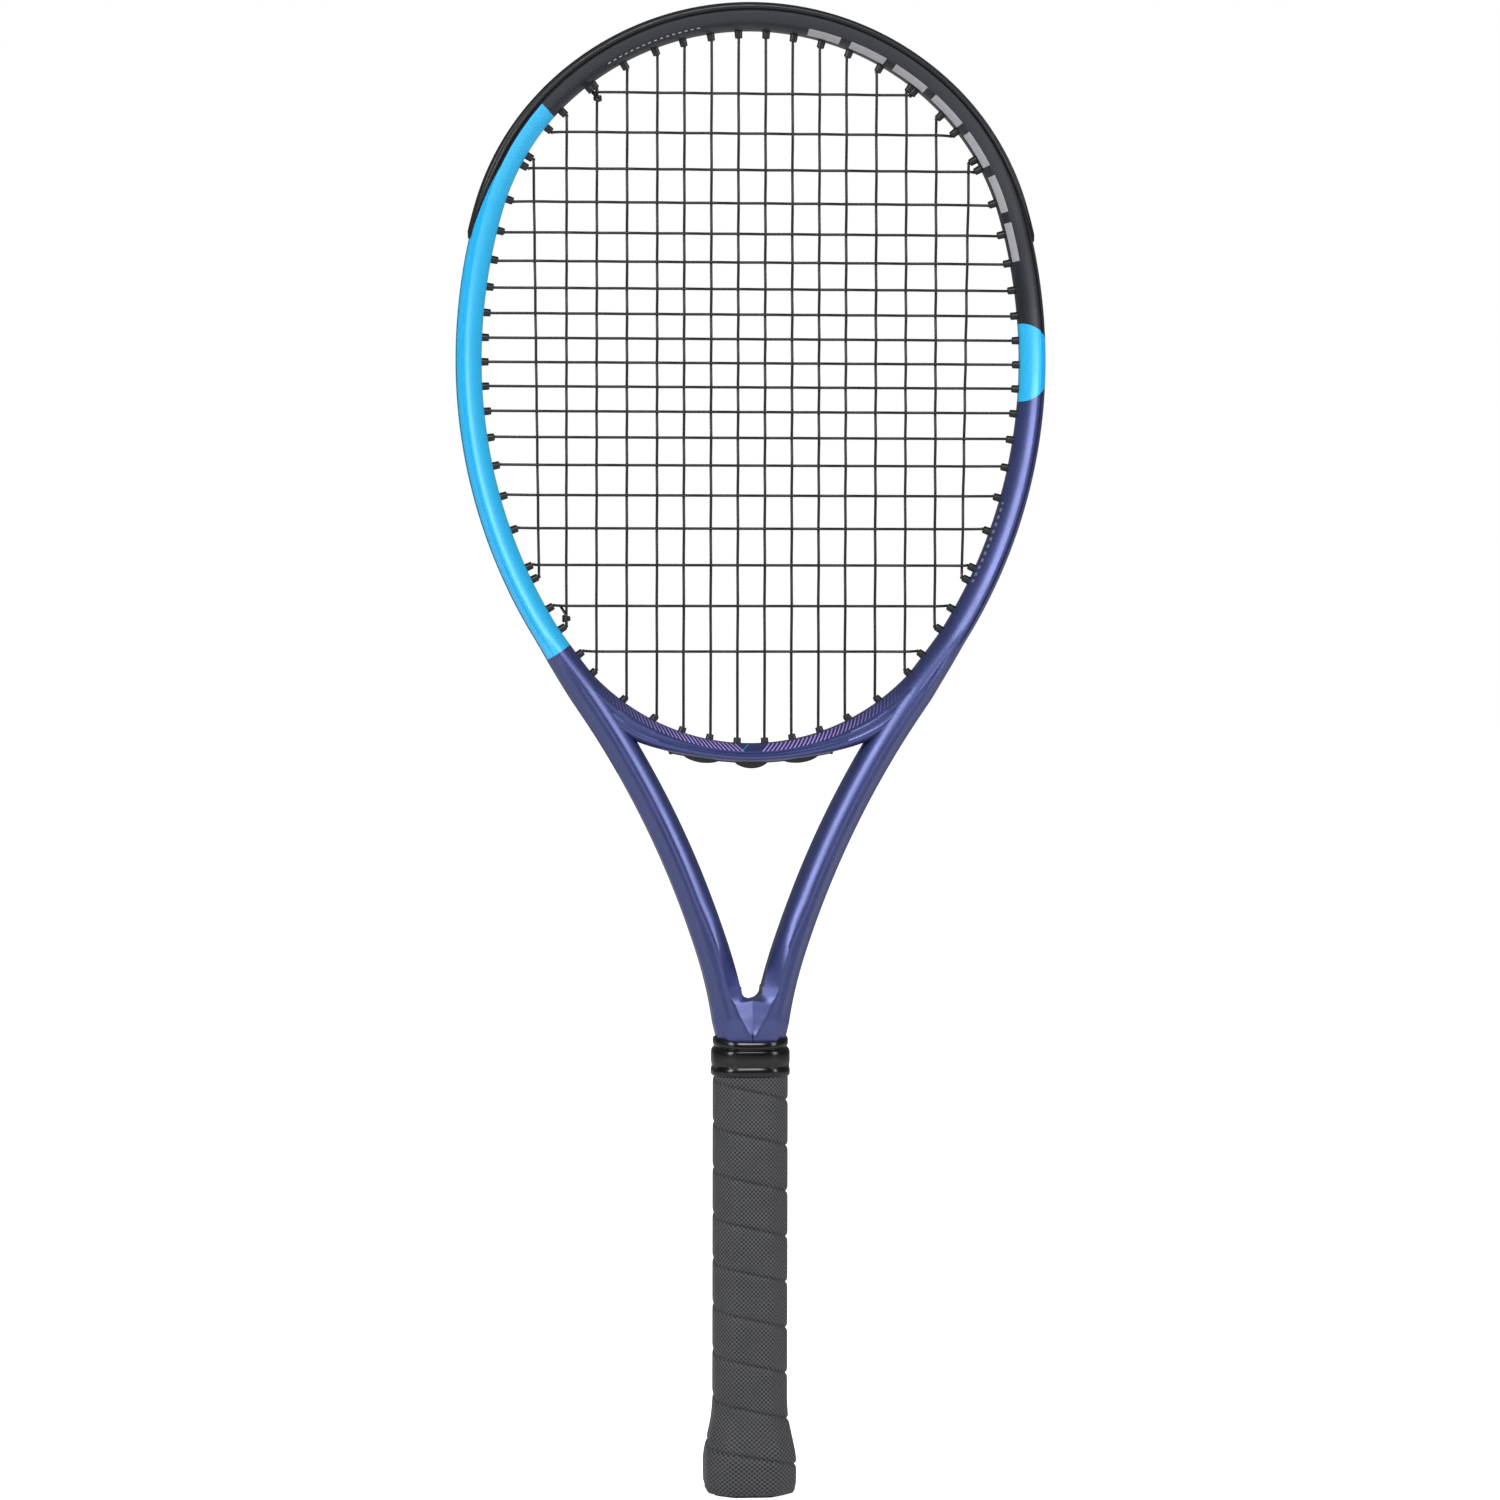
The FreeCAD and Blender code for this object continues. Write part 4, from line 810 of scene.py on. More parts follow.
def guard_outline(s):
    """Guard section: string channel, proud rail, groove, rib and a wing that lies on the frame."""
    wing = min(1.0, max(0.0, (GUARD_S - abs(s)) / WING_TAPER))
    proud = 0.0004 + 0.0009 * smooth((GUARD_S - 0.0012 - abs(s)) / 0.0012)
    thick = 0.00045 * (0.4 + 0.6 * wing)
    over = [(-0.0021, 0.0097), (-0.0017, 0.0096), (-0.0014, 0.0093), (-0.0012, 0.0090), (-0.0010, 0.0087),
            (-0.0007, 0.0083), (-0.0004, 0.0079), (-0.0002, 0.0076), (0.0001, 0.0070)]
    drawn = [(0.0002 + (u - 0.0002) * wing, 0.0060 + (v - 0.0060) * wing) for u, v in over]
    rise = (0.25, 1.0, 1.25, 0.2, 0.25, 1.2, 1.2, 0.15, 1.0)
    lifted = [(u + thick * k * 0.75, v + thick * k * 0.66) for (u, v), k in zip(drawn, rise)]
    floor = -GROOVE_FLOOR + 0.00125
    under = [(-0.0040, 0.0010), (-0.0040, drawn[0][1] - 0.0020 * wing), (drawn[0][0], drawn[0][1] - 0.0003)]
    rail = [(proud * 0.75, 0.0058), (proud * 0.95, 0.0050), (proud, 0.0044), (proud, 0.0034),
            (proud - 0.0003, 0.0031), (floor, 0.0029), (floor, 0.0008)]
    return symmetric(under + lifted + rail)


def strip_outline(_):
    """Side strip's section, the same all along: a shallow channel in the frame's groove."""
    floor = -GROOVE_FLOOR + 0.00005
    half = [(floor, 0.0010), (floor, 0.00405), (-0.0002, 0.00405), (-0.0002, 0.0031),
            (floor + 0.0012, 0.0029), (floor + 0.0012, 0.0008)]
    return symmetric(half)


# ---------------------------------------------------------------- string pattern
RUN_BEGINS = 0.00045          # distance from a barrel's tip to the straight run
BEND_AT = 0.0004              # distance from a barrel's tip to the point that rounds the bend
BURIED, BURIED_IN_BRIDGE = 0.009, 0.006     # length of string inside the frame at each end


class Hole:
    """A string hole: barrel tip, direction outwards, distance along the hairpin, side reached."""

    def __init__(self, tip, direction, heading):
        self.tip, self.direction = tip, direction
        self.in_bridge = heading > SHOULDER_HEADINGS[1]
        self.heading = heading
        self.s = 0.0 if self.in_bridge else leaves_at(tip, direction)

    def bend(self):
        """Where the string's straight run begins, just beyond the barrel."""
        return self.tip - self.direction * RUN_BEGINS


def leaves_at(tip, direction):
    """Distance along the hairpin where a hole's line meets the string's line in the groove."""
    previous = None
    for i in range(int(LEG_END / MM)):
        spot = groove_spot(i * MM)
        gap = spot - tip
        across = gap.x * direction.z - gap.z * direction.x
        if previous is not None and gap.dot(direction) > 0 and previous * across <= 0:
            return (i - 1 + previous / (previous - across)) * MM
        previous = across


def groove_spot(s, side=0.0):
    """Middle of a string that lies in the groove."""
    point, heading, size = hairpin_at(s)
    spot = point + outward(heading) * (size[0] / 2 - GROOVE_FLOOR + 0.0019 + 0.00008)
    return Vector((spot.x, side, spot.z))


def find_hole(is_main, target, top, stands_in):
    """Hole whose barrel ends at a main's distance from the middle or at a cross's height."""
    low, high = (20.0, 160.0) if not is_main else (0.0, 90.0) if top else (90.0, 180.0)
    rising = is_main and top
    for _ in range(40):
        heading = (low + high) / 2
        tip = inner_edge(heading) - outward(heading) * stands_in
        value = tip.x if is_main else tip.z
        if (value < target) == rising:
            low = heading
        else:
            high = heading
    direction = outward(heading)
    if is_main and SHOULDER_HEADINGS[0] < heading < SHOULDER_HEADINGS[1]:
        direction = (direction + outward(HEAD_TURN)).normalized()
    return Hole(tip, direction, heading)


# The pattern in millimetres: mains from the middle outwards, crosses from the middle one both ways.
FIRST_MAIN = 6.25
MAIN_STEPS = [12.5] * 3 + [13.9] * 4
OUTER_LEAN = 1.3              # how far the outermost main's holes lie outwards at its top, inwards below
MIDDLE_CROSS, LEAST_GAP = 520.4, 11.0
GROWTH_UP, GROWTH_DOWN = 0.100, 0.137       # how the gaps grow with the square of the count
BRIDGE_BARREL = 0.72          # how far the lower barrels stand in, as a share of the others
LOWER_WITHIN = 75.0           # mains nearer the middle than this have such a barrel


class Pattern:
    """Sixteen mains and nineteen crosses with their holes, right-hand side."""

    def __init__(self, settings):
        self.weave = settings.weave
        xs = [FIRST_MAIN]
        for step in MAIN_STEPS:
            xs.append(xs[-1] + step)
        zs = [MIDDLE_CROSS]
        for k in range(9):
            zs.insert(0, zs[0] + (LEAST_GAP + GROWTH_UP * (k + 0.5) ** 2))
            zs.append(zs[-1] - (LEAST_GAP + GROWTH_DOWN * (k + 0.5) ** 2))
        self.crosses = [z * MM for z in zs]
        lean = [0.0] * 7 + [OUTER_LEAN]
        reach = settings.stands_in
        self.top = [find_hole(True, (x + a) * MM, True, reach) for x, a in zip(xs, lean)]
        low = [reach * (BRIDGE_BARREL if x < LOWER_WITHIN else 1.0) for x in xs]
        self.bottom = [find_hole(True, (x - a) * MM, False, r) for x, a, r in zip(xs, lean, low)]
        self.side = [find_hole(False, z, True, reach) for z in self.crosses]

    def meeting(self, i, sign, j):
        """Point where a main passes a cross, or None."""
        z = self.crosses[j]
        high, low = self.top[i].bend(), self.bottom[i].bend()
        x = low.x + (high.x - low.x) * (z - low.z) / (high.z - low.z)
        if x > self.side[j].bend().x - MM or not low.z + MM < z < high.z - MM:
            return None
        number = i if sign > 0 else -i - 1
        return Vector((x * sign, self.weave if (number + j) % 2 else -self.weave, z))

    def main_line(self, i, sign):
        ends = [end_points(hole, sign) for hole in (self.top[i], self.bottom[i])]
        meetings = [self.meeting(i, sign, j) for j in range(19)]
        return ends[0] + [p for p in meetings if p] + ends[1][::-1]

    def cross_line(self, j):
        left, right = (end_points(self.side[j], sign) for sign in (-1, 1))
        order = [(i, -1) for i in range(7, -1, -1)] + [(i, 1) for i in range(8)]
        meetings = [self.meeting(i, sign, j) for i, sign in order]
        return left + [Vector((p.x, -p.y, p.z)) for p in meetings if p] + right[::-1]


def mirrored(point, sign):
    """The point, or its mirror image on the left for a sign of -1."""
    return Vector((point.x * sign, point.y, point.z))


def end_points(hole, sign):
    """End of a string inside its barrel, then the bend at the tip."""
    length = BURIED_IN_BRIDGE if hole.in_bridge else BURIED
    return [mirrored(hole.tip + hole.direction * length, sign), mirrored(hole.tip, sign),
            mirrored(hole.tip - hole.direction * BEND_AT, sign)]


SIDE_STEP = 0.0014            # how far a turn lies to the side of the barrels that it passes
TURN_BEND = 0.0026            # distance from a hole over which a turn bends into the groove
TURN_SPACING = 0.004          # distance between the points of a turn
INTO_HOLE = 0.002


def turn_line(start, end, sign, sides, lands=0.0):
    """Turn of string outside the frame between two holes, stepping past other holes."""
    ahead = 1 if end.s > start.s else -1
    bend = min(TURN_BEND, 0.35 * abs(end.s - start.s))
    first, last = start.s + ahead * bend, end.s - ahead * bend
    points = [groove_spot(start.s) - start.direction * INTO_HOLE, groove_spot(start.s)]
    count = max(2, int(abs(last - first) / TURN_SPACING))
    for k in range(count + 1):
        t = k / count
        side = sides[0] + (sides[1] - sides[0]) * smooth((t - 0.4) / 0.2)
        points.append(groove_spot(first + (last - first) * t, side))
    inward = end.direction * INTO_HOLE
    points += [groove_spot(end.s, lands), groove_spot(end.s, lands) - inward]
    return [mirrored(p, sign) for p in points]


BRIDGE_TURN_FROM = 0.0085     # distance from a lower barrel's tip at which its turn begins


def bridge_turn(start, start_sign, end, end_sign):
    """Turn of string under the bridge."""
    floor = 0.00198 - GROOVE_FLOOR
    first, last = (180 - sign * (180 - hole.heading) for hole, sign in ((start, start_sign), (end, end_sign)))
    points = [mirrored(start.tip + start.direction * BRIDGE_TURN_FROM, start_sign)]
    for k in range(6):
        heading = first + (last - first) * k / 5
        points.append(MIDDLE[0] + outward(heading) * (MIDDLE[1] + bridge_width(heading) + floor))
    points.append(mirrored(end.tip + end.direction * BRIDGE_TURN_FROM, end_sign))
    return points


# ---------------------------------------------------------------- geometry nodes
def geometry_tree(name, inputs):
    """Geometry node tree with a geometry input and named inputs; returns it and its input node."""
    tree = bpy.data.node_groups.new(name, "GeometryNodeTree")
    tree.interface.new_socket("Geometry", in_out="INPUT", socket_type="NodeSocketGeometry")
    for label, kind, default in inputs:
        socket = tree.interface.new_socket(label, in_out="INPUT", socket_type=kind)
        if default is not None:
            socket.default_value = default
    tree.interface.new_socket("Geometry", in_out="OUTPUT", socket_type="NodeSocketGeometry")
    return tree, tree.nodes.new("NodeGroupInput")


def close_tree(tree, source, geometry):
    """Realize the instances, set the material from the named input and close the tree."""
    real = add(tree, "GeometryNodeRealizeInstances", {0: geometry})
    done = add(tree, "GeometryNodeSetMaterial", {"Geometry": real.outputs[0],
                                                 "Material": source.outputs["Material"]})
    output = tree.nodes.new("NodeGroupOutput")
    tree.links.new(done.outputs[0], output.inputs[0])


def run_tree(tree, mesh, values, name):
    """Plain mesh that a tree makes from a mesh, with the named inputs set."""
    carrier = bpy.data.objects.new(name + "_carrier", mesh)
    bpy.context.scene.collection.objects.link(carrier)
    modifier = carrier.modifiers.new("Build", "NODES")
    modifier.node_group = tree
    for item in tree.interface.items_tree:
        if item.item_type == "SOCKET" and item.in_out == "INPUT" and item.name in values:
            modifier[item.identifier] = values[item.name]
    graph = bpy.context.evaluated_depsgraph_get()
    result = bpy.data.meshes.new_from_object(carrier.evaluated_get(graph), depsgraph=graph)
    result.name = name
    carrier.modifiers.remove(modifier)
    bpy.data.objects.remove(carrier)
    return result


def string_tree():
    """Smooth round string along every polyline of the input mesh."""
    tree, source = geometry_tree("String along lines", [
        ("Diameter", "NodeSocketFloat", 0.0013), ("Steps", "NodeSocketInt", 6),
        ("Sides", "NodeSocketInt", 10), ("Material", "NodeSocketMaterial", None)])
    curve = add(tree, "GeometryNodeMeshToCurve", {0: source.outputs["Geometry"]})
    spline = add(tree, "GeometryNodeCurveSplineType", {0: curve.outputs[0]}, spline_type="CATMULL_ROM")
    fine = add(tree, "GeometryNodeSetSplineResolution", {0: spline.outputs[0],
                                                         "Resolution": source.outputs["Steps"]})
    radius = add(tree, "ShaderNodeMath", {0: source.outputs["Diameter"], 1: 0.5}, operation="MULTIPLY")
    circle = add(tree, "GeometryNodeCurvePrimitiveCircle", {"Resolution": source.outputs["Sides"],
                                                            "Radius": radius.outputs[0]})
    tube = add(tree, "GeometryNodeCurveToMesh", {"Curve": fine.outputs[0],
                                                 "Profile Curve": circle.outputs[0], "Fill Caps": True})
    close_tree(tree, source, tube.outputs[0])
    return tree


def barrel_tree():
    """Short tapered tube at every point, turned to the direction stored on it."""
    tree, source = geometry_tree("Grommet barrels at points", [
        ("Diameter", "NodeSocketFloat", 0.0032), ("Length", "NodeSocketFloat", 0.0057),
        ("Wall", "NodeSocketFloat", 0.0013), ("Mouth wall", "NodeSocketFloat", 0.0008),
        ("Material", "NodeSocketMaterial", None)])
    half = add(tree, "ShaderNodeMath", {0: source.outputs["Diameter"], 1: 0.5}, operation="MULTIPLY")
    rail = add(tree, "GeometryNodeCurvePrimitiveCircle", {"Resolution": 20, "Radius": half.outputs[0]})
    # The wall's outline as a small closed profile, thinner at the mouth than at the buried end.
    profile = add(tree, "GeometryNodeCurvePrimitiveQuadrilateral", {
        "Bottom Width": source.outputs["Wall"], "Top Width": source.outputs["Mouth wall"],
        "Height": source.outputs["Length"], "Offset": 0.0}, mode="TRAPEZOID")
    rounded = add(tree, "GeometryNodeFilletCurve", {"Curve": profile.outputs[0], "Radius": 0.0006,
                                                    "Count": 4, "Limit Radius": True}, mode="POLY")
    wall = add(tree, "GeometryNodeCurveToMesh", {"Curve": rail.outputs[0],
                                                 "Profile Curve": rounded.outputs[0]})
    points = add(tree, "GeometryNodeMeshToPoints", {0: source.outputs["Geometry"]})
    direction = add(tree, "GeometryNodeInputNamedAttribute", {"Name": "direction"},
                    data_type="FLOAT_VECTOR")
    turned = add(tree, "FunctionNodeAlignRotationToVector", {"Vector": direction.outputs[0]}, axis="Z")
    copies = add(tree, "GeometryNodeInstanceOnPoints", {
        "Points": points.outputs[0], "Instance": wall.outputs[0], "Rotation": turned.outputs[0]})
    close_tree(tree, source, copies.outputs[0])
    return tree


def line_mesh(name, lines):
    """Mesh of loose edges, one chain for each line."""
    points, edges = [], []
    for line in lines:
        start = len(points)
        points += [tuple(p) for p in line]
        edges += [(start + k, start + k + 1) for k in range(len(line) - 1)]
    mesh = bpy.data.meshes.new(name)
    mesh.from_pydata(points, edges, [])
    return mesh


def shaded_smooth(mesh, sharp_degrees):
    bm = bmesh.new()
    bm.from_mesh(mesh)
    finish_bmesh(bm, mesh, sharp_degrees)
    return mesh


def string_piece(name, lines, settings, material, *nodes, steps=6):
    """Piece of string along the lines, standing for its CAD nodes."""
    mesh = run_tree(string_tree(), line_mesh(name + "_lines", lines), {
        "Diameter": settings.gauge, "Steps": steps, "Material": material}, name)
    return new_object(name, shaded_smooth(mesh, 60), material, "string", *nodes)


def barrel_mesh(name, holes, settings, material):
    """Barrels of (hole, sign) pairs; each stands in from the frame's inner edge."""
    length = settings.stands_in + 0.003
    mesh = bpy.data.meshes.new(name)
    places = [mirrored(h.tip + h.direction * length / 2, sign) for h, sign in holes]
    mesh.from_pydata([tuple(p) for p in places], [], [])
    attribute = mesh.attributes.new("direction", "FLOAT_VECTOR", "POINT")
    for item, (hole, sign) in zip(attribute.data, holes):
        item.vector = mirrored(hole.direction, sign)
    wall = (settings.barrel - settings.gauge) / 2
    result = run_tree(barrel_tree(), mesh, {"Diameter": settings.gauge + wall, "Length": length,
                                            "Wall": wall, "Mouth wall": wall * 0.62,
                                            "Material": material}, name)
    return shaded_smooth(result, 35)


# ---------------------------------------------------------------- handle shapes
OCTAGON = (30.5, 26.6, 7.4, 7.5)   # width, depth and bevels of the bare handle, in millimetres
HANDLE_SHARPNESS = 26.0            # how crisp the octagon's corners are
AROUND = 96                        # points round the handle


def octagon_radius(angle, width, depth, sharpness):
    """Distance from the middle to a rounded octagon, in the direction of an angle."""
    _, _, bx, by = OCTAGON
    grow = (width / MM - OCTAGON[0]) * 0.17
    bx, by = (bx + grow) * MM, (by + grow) * MM
    w, d = width / 2, depth / 2
    slope = Vector((by, bx)).normalized()
    reach = (w * slope.x + (d - by) * slope.y)
    faces = [(1, 0, w), (-1, 0, w), (0, 1, d), (0, -1, d)]
    faces += [(a * slope.x, b * slope.y, reach) for a in (1, -1) for b in (1, -1)]
    c, s = math.cos(angle), math.sin(angle)
    total = sum(max(0.0, (nx * c + ny * s) / far) ** sharpness for nx, ny, far in faces)
    return total ** (-1 / sharpness)


def level(z, width, depth, sharpness):
    """Ring of points round the handle at a height."""
    ring = []
    for k in range(AROUND):
        angle = 2 * math.pi * k / AROUND
        r = octagon_radius(angle, width, depth, sharpness)
        ring.append(Vector((r * math.cos(angle), r * math.sin(angle), z)))
    return ring


def levels_mesh(name, levels, sharpness, capped, sharp_degrees):
    """Shell through (z, width, depth) levels, listed up the outside and down the inside."""
    rings = [level(z, w, d, sharpness) for z, w, d in levels]
    uvs = [[(k / AROUND, i) for k in range(AROUND)] for i in range(len(rings))]
    return tube_mesh(name, rings, uvs, "levels", capped, sharp_degrees)


FLARE = [(0.0012, 6.0), (0.0022, 7.0), (0.0035, 7.5), (0.006, 8.0), (0.010, 8.2), (0.016, 8.3),
         (0.020, 7.4), (0.026, 5.0), (0.030, 3.2), (0.034, 1.7), (0.038, 0.7), (0.043, 0.0)]


def flare(z):
    """Growth of the butt over the bare handle at a height, as the cap's profile."""
    return on_line(FLARE, z) * MM


WRAP_START = 0.0134           # height of one edge of the strip at the right-hand side
WRAP_GROWTH = 0.0035          # how much wider the wrapped handle is than the bare one
WRAP_SHARPNESS = 22.0
WRAP_ROUNDING, WRAP_TUCK = 0.0022, 0.0004   # height and depth of the rounding at the butt
WRAP_RADIUS = 0.0165          # mean radius, which makes an angle a length round the grip


def grip_mesh(settings):
    """The wrapped strip as one skin whose rows follow the wrap; a soft groove marks each edge."""
    bottom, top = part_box("grip_tape")[0][2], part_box("grip_tape")[1][2]
    pitch = settings.pitch
    # Across one turn of the strip: share of the pitch, and how far the skin sinks there, in millimetres.
    shares = [0.0, 0.012, 0.03, 0.055, 0.09, 0.16, 0.28, 0.42, 0.56, 0.70, 0.82, 0.90, 0.945, 0.97, 0.988]
    depths = [1.05, 0.85, 0.48, 0.18, 0.04, 0.0, 0.0, 0.0, 0.0, 0.0, 0.0, 0.04, 0.20, 0.52, 0.90]
    turns = math.ceil((top - bottom) / pitch) + 2
    bm = bmesh.new()
    layer = bm.loops.layers.uv.new("wrap")
    rows, labels = [], []
    width, depth = OCTAGON[0] * MM, OCTAGON[1] * MM
    for turn in range(-1, turns):
        for share, sink in zip(shares, depths):
            row, label = [], []
            for k in range(AROUND + 1):
                angle = 2 * math.pi * k / AROUND
                # The strip falls to the right on the front face.
                z = WRAP_START + (turn + share) * pitch - pitch * k / AROUND
                held = min(max(z, bottom), top)
                grow = flare(held) + WRAP_GROWTH
                r = octagon_radius(angle, width + grow, depth + grow, WRAP_SHARPNESS) - sink * MM
                edge = smooth((held - bottom) / WRAP_ROUNDING)
                r -= WRAP_TUCK * (1 - edge)
                row.append(bm.verts.new((r * math.cos(angle), r * math.sin(angle), held)))
                label.append((angle * WRAP_RADIUS, z))
            rows.append(row)
            labels.append(label)
    skin(bm, layer, rows, labels, closed=False)
    flat = [f for f in bm.faces if max(v.co.z for v in f.verts) - min(v.co.z for v in f.verts) < 1e-9]
    bmesh.ops.delete(bm, geom=flat, context="FACES")
    bmesh.ops.remove_doubles(bm, verts=bm.verts, dist=2e-6)
    for z, inset in ((bottom, 0.0022), (top, 0.0014)):
        rim = [e for e in bm.edges if e.is_boundary and all(abs(v.co.z - z) < 1e-6 for v in e.verts)]
        made = bmesh.ops.extrude_edge_only(bm, edges=rim)["geom"]
        for vert in (g for g in made if isinstance(g, bmesh.types.BMVert)):
            length = math.hypot(vert.co.x, vert.co.y)
            vert.co.x *= 1 - inset / length
            vert.co.y *= 1 - inset / length
    mesh = bpy.data.meshes.new("grip_wrap")
    finish_bmesh(bm, mesh, 50)
    return mesh


# ---------------------------------------------------------------- operators
def nylon():
    """Moulded black nylon: dull, with the faint grain of a moulding tool."""
    material = bpy.data.materials.get("Moulded black nylon")
    colour = bpy.context.scene.racket_frame.nylon
    return material or plain_material("Moulded black nylon", colour, 0.42, 0.3, 0.15)


def monofilament():
    """Drawn co-polyester string: smooth and glossy along its length."""
    material = bpy.data.materials.get("Drawn polyester monofilament")
    colour = bpy.context.scene.racket_strings.colour
    return material or plain_material("Drawn polyester monofilament", colour, 0.28, 0.4, 0.05)


class RACKET_OT_hairpin(bpy.types.Operator):
    """Hollow tube that makes the head and both shafts, in its paint"""
    bl_idname = "racket.hairpin"
    bl_label = "Hairpin frame"

    def execute(self, context):
        settings = context.scene.racket_frame
        new_object("frame_paint", hairpin_mesh(settings), lacquer_material(settings), "frame_paint",
                   "frame_hairpin")
        return {"FINISHED"}


class RACKET_OT_bridge(bpy.types.Operator):
    """Short tube that closes the head above the throat"""
    bl_idname = "racket.bridge"
    bl_label = "Throat bridge"

    def execute(self, context):
        rings, uvs = bridge_rings()
        mesh = tube_mesh("bridge_paint", rings, uvs, "tube", True, 38)
        new_object("bridge_paint", mesh, bridge_material(context.scene.racket_frame), "frame_paint",
                   "throat_bridge")
        return {"FINISHED"}


class RACKET_OT_strips(bpy.types.Operator):
    """Head guard, side strips and throat strip, each with its barrels"""
    bl_idname = "racket.strips"
    bl_label = "Guard and grommet strips"

    def execute(self, context):
        settings = context.scene.racket_strings
        pattern = Pattern(settings)
        material = nylon()
        high = [h for h in pattern.top + pattern.side + pattern.bottom if not h.in_bridge and h.s < GUARD_S]
        sides = [h for h in pattern.top + pattern.side + pattern.bottom if not h.in_bridge and h.s > GUARD_S]
        guard = swept("guard", guard_outline, -GUARD_S, GUARD_S)
        barrels = barrel_mesh("guard_barrels", [(h, s) for h in high for s in (1, -1)], settings, material)
        new_object("head_guard", joined("head_guard", [guard, barrels]), material, "grommet_nylon",
                   "head_bumper_guard")
        for name, sign in (("right", 1), ("left", -1)):
            strip = swept(name, strip_outline, GUARD_S + 0.0006, STRIP_END - 0.0004, mirror=sign < 0)
            barrels = barrel_mesh(name + "_barrels", [(h, sign) for h in sides], settings, material)
            new_object(name + "_strip", joined(name + "_strip", [strip, barrels]), material,
                       "grommet_nylon", name + "_grommet_strip")
        low = [(h, s) for h in pattern.bottom if h.in_bridge for s in (1, -1)]
        barrels = barrel_mesh("throat_barrels", low, settings, material)
        new_object("throat_strip", joined("throat_strip", [throat_strip_mesh(), barrels]), material,
                   "grommet_nylon", "throat_grommet_strip")
        return {"FINISHED"}


# Swellings over the turns of string: distance from the middle, half length, rise.
THROAT_BUMPS = [(-0.023, 0.0076, 0.0016), (0.0, 0.0072, 0.0024), (0.023, 0.0076, 0.0016)]


def throat_strip_mesh():
    """Lipped strip under the bridge that swells over each turn of string."""
    rings, uvs = [], []
    half_angle, count = 20.6, 120
    for i in range(count + 1):
        heading = 180.0 + half_angle * (2 * i / count - 1)
        arc = math.radians(heading - 180.0) * (MIDDLE[1] + BRIDGE_SIZE[0])
        swell = max(rise * max(0.0, 1 - ((arc - at) / half) ** 2) ** 0.75
                    for at, half, rise in THROAT_BUMPS)
        end = smooth((half_angle - abs(heading - 180.0)) / 1.2)
        nub = 0.0007 * smooth((abs(heading - 180.0) - half_angle + 1.6) / 0.6)
        proud = -0.0008 + (0.0015 + nub) * end + swell
        low = -GROOVE_FLOOR + 0.0002
        half = [(low, 0.0008), (low, 0.0030), (proud - 0.0006, 0.0030), (proud - 0.0002, 0.0028),
                (proud, 0.0022), (proud, 0.0008)]
        normal = outward(heading)
        ring = []
        for u, v in symmetric(half):
            spot = MIDDLE[0] + normal * (MIDDLE[1] + bridge_width(heading) + u)
            ring.append(Vector((spot.x, v, spot.z)))
        rings.append(ring)
        uvs.append([(heading, k) for k in range(len(ring))])
    return tube_mesh("throat", rings, uvs, "tube", True, 45)


class RACKET_OT_strings(bpy.types.Operator):
    """Mains, crosses and the turns outside the head"""
    bl_idname = "racket.strings"
    bl_label = "Strings"

    def execute(self, context):
        settings = context.scene.racket_strings
        pattern = Pattern(settings)
        material = monofilament()
        mains = [pattern.main_line(i, sign) for sign in (-1, 1) for i in range(8)]
        string_piece("mains", mains, settings, material, "main_strings")
        string_piece("crosses", [pattern.cross_line(j) for j in range(19)], settings, material,
                     "cross_strings")
        over = (SIDE_STEP, SIDE_STEP)
        turns = []
        for sign in (-1, 1):
            turns += [turn_line(pattern.top[i], pattern.top[i + 1], sign, over) for i in (0, 2, 4, 6)]
            turns += [turn_line(pattern.bottom[i + 1], pattern.bottom[i], sign, over) for i in (3, 5)]
            turns.append(bridge_turn(pattern.bottom[1], sign, pattern.bottom[2], sign))
        turns.append(bridge_turn(pattern.bottom[0], -1, pattern.bottom[0], 1))
        string_piece("main_turns", turns, settings, material, "main_string_turns", steps=3)
        under = (-SIDE_STEP, -SIDE_STEP)
        turns = [turn_line(pattern.side[j], pattern.side[j + 1], -1 if j % 2 else 1, under)
                 for j in range(18)]
        turns.append(turn_line(pattern.bottom[7], pattern.side[18], 1, (SIDE_STEP, -SIDE_STEP)))
        string_piece("cross_turns", turns, settings, material, "cross_string_turns", steps=3)
        return {"FINISHED"}


class RACKET_OT_knots(bpy.types.Operator):
    """The two tied-off ends, upper left and lower left"""
    bl_idname = "racket.knots"
    bl_label = "Knots"

    def execute(self, context):
        settings = context.scene.racket_strings
        pattern = Pattern(settings)
        material = monofilament()
        upper = knot_lines(pattern.top[5], pattern.main_line(5, -1), 0.0036, pattern.side[0])
        string_piece("knot_upper", upper, settings, material, "upper_string_knot", steps=5)
        lower = knot_lines(pattern.bottom[6], pattern.main_line(6, -1)[::-1], 0.0020, pattern.bottom[7])
        string_piece("knot_lower", lower, settings, material, "lower_string_knot", steps=5)
        return {"FINISHED"}


KNOT_TURNS, KNOT_STEPS = 2.6, 8             # turns of the coil, and points to a turn
KNOT_RADIUS, KNOT_PITCH = 0.00135, 0.0010
TAIL_LEAN, TAIL_STEP = Vector((-0.45, 0.35, 0.8)), 0.0018


